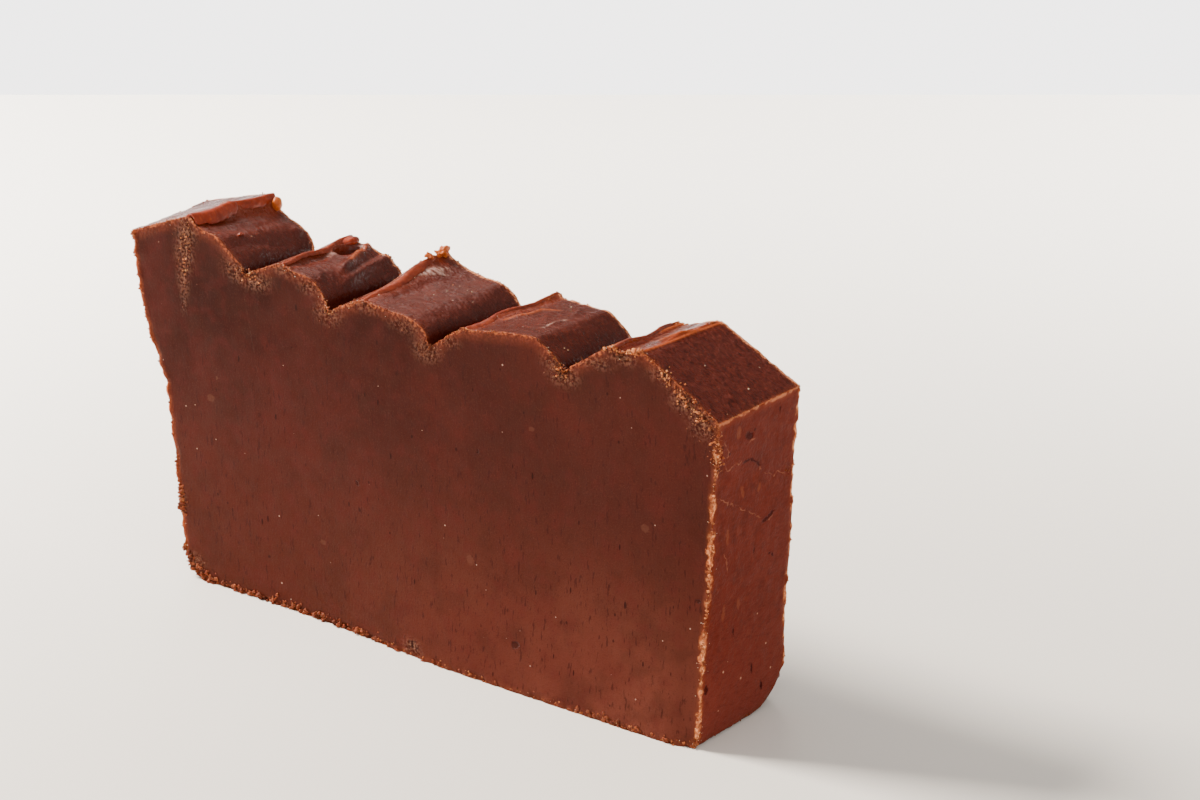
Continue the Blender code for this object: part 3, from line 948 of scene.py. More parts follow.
# Crumbs and grains that cling to the slice: along the edge where two sides meet, or along a line of points,
# with how many lie on each millimetre, how far they stray, and their radius from and to, all in mm
Cling = namedtuple("Cling", "where per_mm stray low high")
BROWN_CLING = (
    Cling((FRONT, BASE), 2.6, 0.50, 0.14, 0.50),
    Cling((BACK, BASE), 2.2, 0.50, 0.14, 0.50),
    Cling((LEFT, BASE), 2.2, 0.45, 0.14, 0.45),
    Cling((RIGHT, BASE), 0.9, 0.30, 0.10, 0.28),
    Cling((FRONT, LEFT), 0.8, 0.40, 0.10, 0.34),
    Cling((BACK, LEFT), 1.2, 0.45, 0.12, 0.40),
    Cling((TOP, LEFT), 1.0, 0.40, 0.10, 0.32),
    Cling((FRONT, TOP), 0.5, 0.30, 0.08, 0.24),
    Cling((BACK, TOP), 0.2, 0.10, 0.08, 0.22),
    Cling((BACK, RIGHT), 0.5, 0.15, 0.08, 0.26),
    Cling(((-57.5, -12.0, 18.2), (-57.0, -12.0, 13.0)), 22.0, 0.75, 0.15, 0.48),
    Cling(((-56.0, -12.0, 5.0), (-53.5, -12.0, 1.5), (-49.0, -12.0, 0.6)), 10.0, 0.70, 0.15, 0.50),
    Cling(((-49.0, -12.0, 0.7), (-36.0, -12.2, 0.5)), 6.0, 0.45, 0.14, 0.48),
    Cling(((-34.0, -12.3, 0.5), (-6.0, -13.3, 0.6)), 6.5, 0.50, 0.14, 0.55),
    Cling(((44.0, -14.4, 0.5), (64.0, -13.8, 0.4)), 5.0, 0.45, 0.14, 0.50),
)
ORANGE_CLING = (
    Cling((FRONT, LEFT), 3.4, 0.26, 0.08, 0.28),
    Cling((BACK, LEFT), 1.4, 0.30, 0.10, 0.34),
    Cling((TOP, LEFT), 1.6, 0.25, 0.08, 0.22),
    Cling((FRONT, TOP), 2.6, 0.18, 0.07, 0.17),
    Cling((BACK, TOP), 1.6, 0.05, 0.06, 0.13),
    Cling((FRONT, RIGHT), 3.2, 0.28, 0.08, 0.26),
    Cling((FRONT, BASE), 4.0, 0.45, 0.08, 0.28),
    Cling(((68.4, -11.9, 59.9), (69.3, -11.9, 56.5), (69.2, -11.6, 51.0)), 9.0, 0.55, 0.08, 0.28),
    Cling(((-57.4, -12.0, 18.2), (-57.0, -12.0, 13.0)), 10.0, 0.60, 0.10, 0.34),
    Cling(((-9.9, 5.0, 68.3), (-9.8, 9.0, 69.3)), 6.0, 0.30, 0.14, 0.34),
    Cling(((16.9, 8.0, 66.1), (16.9, 11.9, 66.2)), 5.0, 0.20, 0.12, 0.30),
    Cling(((-24.0, 11.8, 65.6), (-22.4, 11.8, 64.8)), 8.0, 0.20, 0.12, 0.30),
    Cling(((44.0, 10.6, 66.4), (46.5, 11.9, 66.2)), 6.0, 0.20, 0.12, 0.28),
    Cling(((51.9, 9.0, 68.2), (53.4, 11.9, 68.2)), 5.0, 0.20, 0.12, 0.28),
    Cling(((69.1, 9.4, 44.9), (69.1, 11.9, 43.8)), 8.0, 0.30, 0.08, 0.20),
)
TAN_CLING = (
    Cling((FRONT, RIGHT), 3.0, 0.13, 0.08, 0.28),
    Cling((BACK, RIGHT), 1.2, 0.08, 0.07, 0.18),
    Cling((TOP, RIGHT), 3.0, 0.07, 0.06, 0.13),
    Cling((FRONT, TOP), 0.9, 0.22, 0.07, 0.15),
    Cling(((46.6, -11.8, 68.9), (48.6, -11.8, 68.6)), 14.0, 0.35, 0.12, 0.34),
    Cling(((51.0, -11.8, 68.8), (53.4, -11.8, 69.2)), 20.0, 0.35, 0.12, 0.38),
    Cling(((69.2, -10.9, 57.5), (69.5, -11.0, 54.0), (69.4, -11.3, 50.0)), 4.0, 0.30, 0.08, 0.20),
    Cling(((-52.0, -12.0, 72.0), (-52.7, -12.0, 67.6), (-53.6, -12.0, 61.0)), 4.0, 0.60, 0.07, 0.22),
    Cling(((58.0, -12.0, 66.2), (63.0, -12.0, 62.4), (66.8, -12.0, 59.4)), 9.0, 0.60, 0.07, 0.28),
    Cling(((-40.5, -12.0, 65.6), (-38.4, -12.0, 64.6), (-34.0, -12.0, 64.8)), 5.0, 0.55, 0.07, 0.22),
    Cling(((-19.0, -12.0, 63.4), (-16.6, -12.0, 61.6)), 5.0, 0.50, 0.07, 0.22),
    Cling(((34.6, -12.0, 63.0), (37.4, -12.0, 61.4)), 6.0, 0.50, 0.07, 0.24),
    Cling(((-62.0, -12.0, 70.4), (-52.0, -12.0, 73.0)), 2.5, 0.30, 0.07, 0.18),
    Cling(((-31.6, 0.0, 68.4), (-32.2, 9.0, 67.8)), 2.0, 0.25, 0.06, 0.16),
    Cling(((-10.6, -2.0, 66.6), (-10.8, 6.0, 67.8)), 2.5, 0.30, 0.06, 0.16),
    Cling(((-58.0, -9.0, 71.3), (-57.0, 6.0, 71.0)), 1.5, 1.20, 0.06, 0.14),
)
SUGAR_CLING = (
    Cling((FRONT, TOP), 0.5, 0.60, 0.06, 0.11),
    Cling((BACK, TOP), 0.1, 0.10, 0.06, 0.10),
    Cling((FRONT, RIGHT), 1.0, 0.70, 0.06, 0.12),
    Cling((FRONT, BASE), 0.4, 0.80, 0.06, 0.11),
    Cling((FRONT, LEFT), 0.4, 0.60, 0.06, 0.11),
    Cling(((47.0, -11.8, 69.0), (53.0, -11.8, 69.2)), 2.0, 0.40, 0.08, 0.16),
)
# Single sugar grains on the top, as (x, y) in mm
TOP_GRAINS = (
    (-7.6, 0.9), (-7.5, -4.4), (-7.9, -8.5), (-1.7, 5.0), (-0.7, 5.4), (1.6, 5.0), (2.4, 5.0),
    (4.8, 2.6), (2.8, -0.5), (-1.5, -1.1), (-0.7, 1.9), (33.9, -7.6), (34.3, -7.3), (66.9, 0.8),
    (63.6, 8.1), (69.1, -8.4), (-44.0, -3.6), (-27.0, 4.2), (22.6, 8.6), (52.6, 2.2), (60.2, -2.6),
)
TOP_GRAIN_SIZES = (0.08, 0.15)
PATCH_CRUMBS_PER_MM2 = 2.5  # in a patch at full strength
PATCH_CRUMB_SIZES = (0.07, 0.24)
PATCH_CRUMB_STRAY = 0.0009
PATCH_SPREAD = 0.6  # how far the crumbs of a patch spread, in its reaches
PATCH_JOG = 0.4  # mm, how far off the nearest point of the face a crumb may lie
# Along an edge crumbs lie in bunches: how many lie there on the whole and how much that varies, as shares
# of those that an edge could have, and how long a bunch is in metres
BUNCH_MIDDLE, BUNCH_SWING, BUNCH_SIZE = 0.6, 1.5, 0.005
EDGE_SMALL, PATCH_SMALL = 2.2, 2.0  # the higher, the more of the crumbs are small
CRUMB_KINDS = 5
CRUMB_SQUEEZE = (0.65, 1.15)
CRUMB_STAND = (-0.2, 0.45)  # how far a crumb's middle stands off the surface, in its radii


def crumb_shapes(roughness, fineness):
    """Crumbs as templates of radius 1: small spheres that are broken up."""
    nothing_selected()
    bpy.ops.mesh.primitive_ico_sphere_add(subdivisions=fineness, radius=1.0)
    piece = start_piece("crumb_template")
    places = points_of(piece)
    faces = np.array([face.vertices[:] for face in piece.data.polygons])
    bpy.data.objects.remove(piece)
    shapes = []
    for number in range(CRUMB_KINDS):
        jog = Vector((number * 3.7, number * 1.9, 0.0))
        push = [1.0 + roughness * noise.noise(Vector(place) * 1.3 + jog) for place in places]
        shapes.append(places * np.array(push)[:, None])
    return shapes, faces


def points_along(line, step=0.25):
    """Points of a line given in mm, a step apart, in metres."""
    line = np.array(line, float)
    spots = []
    for start, end in zip(line, line[1:]):
        count = max(2, round(np.linalg.norm(end - start) / step))
        spots += [start + (end - start) * k / count for k in range(count)]
    return np.array(spots) * MM


def length_of(edge):
    """About how long an edge is, from its points in the order of its longest direction."""
    axis = int(np.argmax(edge.max(0) - edge.min(0)))
    ordered = edge[np.argsort(edge[:, axis])]
    return np.linalg.norm(ordered[1:] - ordered[:-1], axis=1).sum()


def grain_spots(body, draw):
    """Where the single sugar grains lie on the top: (place, normal, radius) of each."""
    top = np.nonzero(side_points(body)[TOP])[0]
    places, ways = points_of(body)[top], normals_of(body)[top]
    tree = surface_tree(places * (1.0, 1.0, 0.0))
    spots = []
    for x, y in TOP_GRAINS:
        _, number, _ = tree.find(Vector((x * MM, y * MM, 0.0)))
        spots.append((places[number], ways[number], MM * draw.uniform(*TOP_GRAIN_SIZES)))
    return spots


def cling_spots(body, clings, draw, seed):
    """Where crumbs cling along edges and lines: (place, normal, radius) of each."""
    member = side_points(body)
    places, ways = points_of(body), normals_of(body)
    tree = surface_tree(places)
    spots = []
    for cling in clings:
        on_edge = isinstance(cling.where[0], int)
        edge = places[edge_points(body, cling.where, member)] if on_edge else points_along(cling.where)
        for _ in range(round(length_of(edge) / MM * cling.per_mm)):
            start = Vector(edge[draw.randrange(len(edge))])
            wave = noise.noise(start / BUNCH_SIZE + Vector((0.0, 0.0, seed)))
            if on_edge and draw.random() > BUNCH_MIDDLE + BUNCH_SWING * wave:
                continue
            stray = Vector([draw.gauss(0.0, cling.stray * MM) for _ in range(3)])
            spot, number, _ = tree.find(start + stray)
            radius = MM * mix(cling.low, cling.high, draw.random() ** EDGE_SMALL)
            spots.append((np.array(spot), ways[number], radius))
    return spots


def patch_spots(body, draw):
    """Where fine crumbs lie in the crumbly patches of both cut faces: (place, normal, radius) of each."""
    member = side_points(body)
    places, ways = points_of(body), normals_of(body)
    spots = []
    for side in (FRONT, BACK):
        index = np.nonzero(member[side])[0]
        tree = surface_tree(places[index])
        for patch in patches_of(side):
            area = math.pi * patch.reach[0] * patch.reach[1]
            for _ in range(round(area * patch.strength * PATCH_CRUMBS_PER_MM2)):
                x, z = (m + draw.gauss(0.0, PATCH_SPREAD) * r for m, r in zip(patch.middle, patch.reach))
                wanted = Vector((x * MM, places[index[0], 1], z * MM))
                spot, number, away = tree.find(wanted)
                if away > PATCH_CRUMB_STRAY:
                    continue
                spot = np.array(spot)
                jog = np.array([wanted.x, spot[1], wanted.z]) - spot
                spot += np.clip(jog, -PATCH_JOG * MM, PATCH_JOG * MM)
                radius = MM * mix(*PATCH_CRUMB_SIZES, draw.random() ** PATCH_SMALL)
                spots.append((spot, ways[index[number]], radius))
    return spots


def scatter(name, spots, roughness, draw, fineness=2):
    """Crumbs of one kind at their spots, joined in one mesh."""
    shapes, faces = crumb_shapes(roughness, fineness)
    all_points, all_faces, count = [], [], 0
    for spot, way, radius in spots:
        axis = Vector((draw.gauss(0.0, 1.0), draw.gauss(0.0, 1.0), 1.0))
        turn = Matrix.Rotation(draw.uniform(0.0, math.tau), 3, axis)
        squeeze = Matrix.Diagonal([draw.uniform(*CRUMB_SQUEEZE) for _ in range(3)])
        shape = shapes[draw.randrange(len(shapes))] @ np.array(squeeze) @ np.array(turn)
        all_points.append(shape * radius + spot + way * radius * draw.uniform(*CRUMB_STAND))
        all_faces.append(faces + count)
        count += len(shape)
    mesh = bpy.data.meshes.new(name)
    mesh.from_pydata(np.concatenate(all_points).tolist(), [], np.concatenate(all_faces).tolist())
    mesh.shade_smooth()
    piece = bpy.data.objects.new(name, mesh)
    bpy.context.scene.collection.objects.link(piece)
    return piece


# Marks on the flat sides: the (along, up) middle and half size in mm, and the turn in degrees. The first is
# along y on the right end and along x on the front cut face
Scar = namedtuple("Scar", "middle half_size turn")


def crack(half_width, *points):
    """A crack along a line of points, as one mark for each of its stretches."""
    marks = []
    for (a, up_a), (b, up_b) in zip(points, points[1:]):
        half_long = 0.5 * math.dist((a, up_a), (b, up_b)) + half_width
        turn = math.degrees(math.atan2(up_b - up_a, b - a))
        marks.append(Scar((0.5 * (a + b), 0.5 * (up_a + up_b)), (half_long, half_width), turn))
    return tuple(marks)


# Pits on the right end: drawn by a bump, and darkened in the finish with painted shade
END_PITS = (
    Scar((-2.7, 55.1), (1.30, 0.72), -25.0),
    *crack(0.24, (-3.7, 50.5), (-2.0, 50.6), (0.2, 49.4), (1.2, 48.4)),
    *crack(0.42, (3.0, 37.6), (4.3, 37.8), (5.8, 38.4)),
    Scar((1.8, 10.1), (0.28, 0.9), 5.0),
    Scar((5.1, 5.5), (0.32, 1.0), 12.0),
    Scar((6.1, 57.2), (0.16, 0.9), 0.0),
    Scar((5.3, 30.8), (0.35, 0.35), 0.0),
    Scar((6.2, 30.2), (0.3, 0.4), 30.0),
    Scar((-11.7, 10.7), (0.5, 0.9), 0.0),
    Scar((-4.0, 19.0), (0.22, 0.7), 10.0),
    Scar((0.5, 33.0), (0.25, 0.5), -20.0),
)
END_WEB = (
    Scar((-1.9, 54.0), (1.1, 0.24), 18.0),
    *crack(0.16, (-11.3, 52.7), (-9.2, 51.0), (-7.3, 50.3), (-3.9, 50.8)),
    *crack(0.14, (0.8, 48.7), (3.3, 46.0), (9.7, 44.4)),
    *crack(0.16, (-10.4, 45.9), (-5.2, 42.8), (1.9, 38.7)),
    *crack(0.16, (-10.9, 56.7), (-9.0, 54.6), (-8.7, 53.4), (-10.4, 52.7)),
    *crack(0.14, (-8.6, 36.2), (-8.0, 34.2), (-7.2, 31.0)),
    *crack(0.16, (3.2, 37.0), (5.9, 37.9)),
)
END_BLOTCHES = (
    Scar((-7.4, 23.6), (0.5, 1.6), 0.0),
    Scar((-3.0, 24.0), (0.4, 1.2), 10.0),
    Scar((-6.0, 56.6), (0.7, 1.2), 0.0),
    Scar((-3.5, 45.0), (0.5, 1.4), 20.0),
    Scar((1.5, 44.2), (0.4, 1.0), -10.0),
    Scar((-7.6, 38.0), (0.5, 1.5), 0.0),
)
# Pits on the front cut face: drawn by a bump, and darkened in the finish with painted shade
FACE_PITS = (
    Scar((3.3, 2.3), (1.3, 0.8), 0.0),
    Scar((66.5, 27.3), (0.5, 0.4), 0.0),
    Scar((27.6, 9.0), (1.0, 0.7), 20.0),
    Scar((-11.0, 30.0), (0.35, 0.5), 10.0),
    Scar((18.0, 43.0), (0.3, 0.4), 0.0),
)
FACE_BLOTCHES = (
    Scar((-47.8, 38.3), (1.0, 0.8), 10.0),
    Scar((55.1, 37.8), (0.9, 0.8), 0.0),
    Scar((16.6, 22.3), (0.8, 1.0), 20.0),
    Scar((-46.0, 42.7), (0.35, 0.35), 0.0),
    Scar((30.0, 50.0), (0.7, 0.5), 0.0),
    Scar((-20.0, 16.0), (0.7, 0.6), 0.0),
)


# Finishes

MIX_FACTOR, MIX_A, MIX_B, MIX_COLOUR = 0, 6, 7, 2  # a Mix node's sockets when it mixes colours
LIGHT_REACH = (1.0, 0.32, 0.14)  # how far red, green and blue light go into fudge, next to each other


def linear(hexed):
    """A colour given as the screen shows it, turned to the linear light that shaders work in."""
    values = [int(hexed[start:start + 2], 16) / 255.0 for start in (1, 3, 5)]
    return (*(v / 12.92 if v <= 0.04045 else ((v + 0.055) / 1.055) ** 2.4 for v in values), 1.0)


def per_mm(size):
    """The texture scale whose features are about that many millimetres."""
    return 1.0 / (size * MM)


def add(tree, kind, inputs, **settings):
    """Adds a node, with its settings, and sets or links its inputs."""
    made = tree.nodes.new(kind)
    for name, value in settings.items():
        setattr(made, name, value)
    for name, value in inputs.items():
        if isinstance(value, bpy.types.NodeSocket):
            tree.links.new(value, made.inputs[name])
        else:
            made.inputs[name].default_value = value
    return made


def clouds(tree, place, size, low, high, detail=3.0, stretch=(1.0, 1.0, 1.0), jog=0.0, turn=0.0):
    """Soft patches of about a size in mm, as a cover from 0 to 1. A turn is in degrees about the upright."""
    spot = add(
        tree,
        "ShaderNodeMapping",
        {
            "Vector": place,
            "Scale": stretch,
            "Location": (jog, jog, jog),
            "Rotation": (0.0, 0.0, math.radians(turn)),
        },
    )
    cloud = add(
        tree,
        "ShaderNodeTexNoise",
        {"Vector": spot.outputs[0], "Scale": per_mm(size), "Detail": detail, "Roughness": 0.55},
    )
    return add(
        tree,
        "ShaderNodeMapRange",
        {"Value": cloud.outputs[0], "From Min": low, "From Max": high},
        interpolation_type="SMOOTHSTEP",
    ).outputs[0]


def specks(tree, place, spacing, radius, stretch=(1.0, 1.0, 1.0), jog=0.0):
    """Small round marks of uneven size, about a spacing apart, as a cover from 0 to 1."""
    spot = add(tree, "ShaderNodeMapping", {"Vector": place, "Scale": stretch, "Location": (jog, jog, jog)})
    cell = add(tree, "ShaderNodeTexVoronoi", {"Vector": spot.outputs[0], "Scale": per_mm(spacing)})
    draw = add(tree, "ShaderNodeSeparateColor", {"Color": cell.outputs["Color"]})
    cube = add(tree, "ShaderNodeMath", {0: draw.outputs[0], 1: 3.0}, operation="POWER")
    size = hold(tree, cube.outputs[0], radius / spacing)
    inside = add(tree, "ShaderNodeMath", {0: size, 1: cell.outputs["Distance"]}, operation="SUBTRACT")
    return add(
        tree,
        "ShaderNodeMapRange",
        {"Value": inside.outputs[0], "From Min": 0.0, "From Max": 0.25 * radius / spacing},
    ).outputs[0]


def band(tree, attribute, width, rough):
    """A ragged band along an edge, whose distance in mm is written on the piece, as a cover from 0 to 1."""
    far, ragged = written(tree, attribute), hold(tree, rough, width)
    inner = add(tree, "ShaderNodeMath", {0: far, 1: ragged}, operation="SUBTRACT")
    return add(
        tree,
        "ShaderNodeMapRange",
        {"Value": inner.outputs[0], "From Min": 0.35 * width, "From Max": -0.35 * width},
        interpolation_type="SMOOTHSTEP",
    ).outputs[0]


def glow(tree, attribute, width, rough):
    """A cover that fades from 1 at an edge to 0 at a width away in mm, made uneven by another cover."""
    far = written(tree, attribute)
    near = add(tree, "ShaderNodeMapRange", {"Value": far, "From Min": width, "From Max": 0.0})
    steep = add(tree, "ShaderNodeMath", {0: near.outputs[0], 1: 1.25}, operation="POWER")
    uneven = add(tree, "ShaderNodeMapRange", {"Value": rough, "To Min": 0.5, "To Max": 1.0})
    return hold(tree, steep.outputs[0], uneven.outputs[0])


def hold(tree, cover, share):
    """A cover held down to a share of its strength, or to where another cover is."""
    return add(tree, "ShaderNodeMath", {0: cover, 1: share}, operation="MULTIPLY").outputs[0]


def written(tree, attribute):
    """What was written on the piece's points under a name."""
    return add(tree, "ShaderNodeAttribute", {}, attribute_name=attribute).outputs["Fac"]


def cover_along(tree, place, axis, full, none):
    """A cover that is 1 at one place along an axis and fades to 0 at another, both in mm."""
    split = add(tree, "ShaderNodeSeparateXYZ", {"Vector": place})
    return add(
        tree,
        "ShaderNodeMapRange",
        {"Value": split.outputs[axis], "From Min": none * MM, "From Max": full * MM},
        interpolation_type="SMOOTHSTEP",
    ).outputs[0]


def scars(tree, place, marks, axis, level, shift, waver=(0.5, 0.9)):
    """Marks on one flat side, as a cover from 0 to 1, with outlines that waver over the one and by the other
    of two sizes in mm. The side faces along an axis and lies at that level, in metres."""
    size, reach = waver
    wander = add(tree, "ShaderNodeTexNoise", {"Vector": place, "Scale": per_mm(size), "Detail": 3.0})
    ragged = add(
        tree, "ShaderNodeVectorMath", {0: wander.outputs[1], 1: (reach * MM,) * 3}, operation="MULTIPLY"
    )
    spot = add(tree, "ShaderNodeVectorMath", {0: place, 1: ragged.outputs[0]}, operation="ADD")
    cover = 0.0
    for mark in marks:
        along, up = mark.middle[0] * MM, mark.middle[1] * MM
        middle = np.array((level, along, up) if axis == 0 else (along, level, up)) + shift
        turn = math.radians(mark.turn)
        turns = (turn, 0.0, 0.0) if axis == 0 else (0.0, -turn, 0.0)
        wide, high = (half * MM for half in mark.half_size)
        sizes = (0.01, wide, high) if axis == 0 else (wide, 0.01, high)
        # A texture mapping takes its place away, turns back and then divides by the size
        moved = add(
            tree,
            "ShaderNodeMapping",
            {
                "Vector": spot.outputs[0],
                "Location": tuple(middle + 0.5 * reach * MM),
                "Rotation": turns,
                "Scale": sizes,
            },
            vector_type="TEXTURE",
        )
        away = add(tree, "ShaderNodeVectorMath", {0: moved.outputs[0]}, operation="LENGTH")
        inside = add(
            tree, "ShaderNodeMapRange", {"Value": away.outputs["Value"], "From Min": 1.15, "From Max": 0.75}
        )
        cover = add(
            tree, "ShaderNodeMath", {0: inside.outputs[0], 1: cover}, operation="MAXIMUM"
        ).outputs[0]
    return cover


def finish_of(name, base, layers, shine, dull, bumps, subsurface=(), gloss=None, **sockets):
    """A material from its base colour, the (cover, colour) layers over it, how rough it is where it is
    shiniest and dullest, and the (height, depth in mm, strength) bumps, each over the one before. The
    layers, the bumps and an uneven gloss are made by functions of the tree and the object's coordinates.
    Light goes into it by subsurface, a (weight, depth in mm)."""
    material = bpy.data.materials.new(name)
    material.use_nodes = True
    tree = material.node_tree
    tree.nodes.clear()
    place = add(tree, "ShaderNodeTexCoord", {}).outputs["Object"]
    colour = linear(base)
    for cover, over in layers(tree, place):
        mixed = add(
            tree,
            "ShaderNodeMix",
            {MIX_FACTOR: cover, MIX_A: colour, MIX_B: linear(over)},
            data_type="RGBA",
        )
        colour = mixed.outputs[MIX_COLOUR]
    inputs = {"Base Color": colour}
    duller = clouds(tree, place, 2.4, 0.3, 0.7, 4.0, jog=0.11)
    rough = add(tree, "ShaderNodeMapRange", {"Value": duller, "To Min": shine, "To Max": dull})
    inputs["Roughness"] = rough.outputs[0]
    normal = None
    for height, depth, strength in bumps(tree, place):
        values = {"Height": height, "Distance": depth * MM, "Strength": strength}
        if normal:
            values["Normal"] = normal
        normal = add(tree, "ShaderNodeBump", values).outputs[0]
    if normal:
        inputs["Normal"] = normal
    if subsurface:
        weight, scale = subsurface
        inputs["Subsurface Weight"] = weight
        inputs["Subsurface Radius"] = LIGHT_REACH
        inputs["Subsurface Scale"] = scale * MM
    if gloss:
        inputs["Specular IOR Level"] = gloss(tree, place)
    inputs.update({socket.replace("_", " "): value for socket, value in sockets.items()})
    shader = add(tree, "ShaderNodeBsdfPrincipled", inputs)
    add(tree, "ShaderNodeOutputMaterial", {"Surface": shader.outputs[0]})
    return material


def knife_cut_fudge(shift):
    """Fudge cut through by a knife: matte and close, with the sugar's grain, faint drag lines and small pits
    where sugar fell out, darkened with painted shade. It is paler low on the right, a painted light where
    the swollen foot tilts up to the lamps and takes the floor's bounce, and darker high on the left, a
    painted shade. It is warmer along its edges, on the left partly a painted glow of light through the
    crumbly rim, and broken into pale grains where it crumbled, with painted shade in the gaps between them."""
    front = -0.5 * THICKNESS

    def layers(tree, place):
        grain = clouds(tree, place, 0.7, 0.3, 0.7, 4.0, jog=0.02)
        coarse = clouds(tree, place, 0.55, 0.42, 0.62, 3.0, jog=0.6)
        gap_shade = clouds(tree, place, 0.7, 0.52, 0.62, 3.0, jog=0.9)
        uneven = clouds(tree, place, 2.2, 0.35, 0.65, 5.0, jog=0.33)
        shown = clouds(tree, place, 6.0, 0.40, 0.52, 2.0, jog=0.7)
        crumbly = written(tree, "crumbly")
        # Painted light low down and low on the right, where the foot tilts up to the lamps and takes the
        # floor's bounce; painted shade high on the left
        low = cover_along(tree, place, 2, 6.0, 48.0)
        lowest, highest = cover_along(tree, place, 2, 0.0, 40.0), cover_along(tree, place, 2, 60.0, 28.0)
        lit_low_right = hold(tree, lowest, cover_along(tree, place, 0, 60.0, -30.0))
        shaded_high_left = hold(tree, highest, cover_along(tree, place, 0, -20.0, 48.0))
        return (
            # painted light low and low on the right, painted shade high on the left
            (low, "#411a10"),
            (lit_low_right, "#5c2d22"),
            (hold(tree, shaded_high_left, 0.95), "#290b05"),
            (hold(tree, clouds(tree, place, 15.0, 0.4, 0.65, 3.0), 0.4), "#481a13"),
            (hold(tree, clouds(tree, place, 7.0, 0.45, 0.66, 4.0, jog=0.05), 0.35), "#32160d"),
            (hold(tree, clouds(tree, place, 3.2, 0.48, 0.68, 4.0, jog=0.25), 0.28), "#4a1815"),
            (
                hold(tree, clouds(tree, place, 0.6, 0.60, 0.68, 3.0, stretch=(1.0, 1.0, 0.25)), 0.6),
                "#290f0b",
            ),
            (hold(tree, clouds(tree, place, 0.30, 0.54, 0.66, 2.0, jog=0.3), 0.22), "#52271d"),
            (hold(tree, clouds(tree, place, 0.28, 0.56, 0.66, 2.0, jog=1.3), 0.28), "#2b100b"),
            # the dark specks are the small pits where sugar fell out: their dark is painted shade
            (
                hold(tree, specks(tree, place, 1.5, 0.26, stretch=(1.0, 1.0, 0.32), jog=0.13), 0.85),
                "#1d0a07",
            ),
            (hold(tree, specks(tree, place, 2.6, 0.34, stretch=(1.0, 1.0, 0.8)), 0.7), "#1d0a07"),
            (hold(tree, specks(tree, place, 2.6, 0.20, jog=0.07), 0.8), "#a98171"),
            # the larger pits, darkened with painted shade
            (hold(tree, scars(tree, place, FACE_PITS, 1, front, shift), 0.6), "#240b08"),
            (hold(tree, scars(tree, place, FACE_BLOTCHES, 1, front, shift), 0.22), "#693f30"),
            (hold(tree, glow(tree, "skin_edge", 2.6, coarse), 0.85), "#743523"),
            # Dark gaps between the crumbly grains: painted shade
            (hold(tree, hold(tree, crumbly, gap_shade), 0.95), "#1b0705"),
            (hold(tree, hold(tree, crumbly, coarse), 0.9), "#885a46"),
            (hold(tree, band(tree, "skin_edge", 0.7, grain), coarse), "#a25534"),
            (hold(tree, glow(tree, "right_edge", 1.3, uneven), 0.75), "#793b24"),
            (hold(tree, band(tree, "right_edge", 0.9, uneven), shown), "#aa5b35"),
            (hold(tree, hold(tree, band(tree, "right_edge", 0.8, uneven), coarse), shown), "#dd9363"),
            # Warm orange along the left edge: partly the crumbly rim's own colour and partly a painted glow
            # of light through it
            (hold(tree, glow(tree, "left_edge", 1.5, coarse), 1.0), "#863c1f"),
            (hold(tree, band(tree, "left_edge", 0.5, grain), 0.8), "#b55d30"),
            (hold(tree, glow(tree, "foot_edge", 1.4, uneven), 0.9), "#612e1d"),
        )

    def bumps(tree, place):
        broken = clouds(tree, place, 0.55, 0.2, 0.8, 4.0, jog=0.6)
        pits = hold(tree, scars(tree, place, FACE_PITS, 1, front, shift), -1.0)
        return (
            (clouds(tree, place, 0.9, 0.3, 0.8, 4.0, stretch=(1.0, 1.0, 0.18)), 0.035, 0.5),
            (clouds(tree, place, 0.5, 0.2, 0.8, 5.0), 0.07, 0.5),
            (hold(tree, written(tree, "crumbly"), broken), 0.6, 1.0),
            (hold(tree, glow(tree, "skin_edge", 2.0, broken), broken), 0.25, 0.8),
            (pits, 0.4, 0.8),
        )

    sockets = {"IOR": 1.45, "Specular_IOR_Level": 0.05}
    return finish_of("knife_cut_fudge", "#3b1811", layers, 0.48, 0.62, bumps, (0.08, 0.8), **sockets)


RIPPLE_TURN = 37.8  # degrees from the slice's length to the way that the skin's fine ripples run


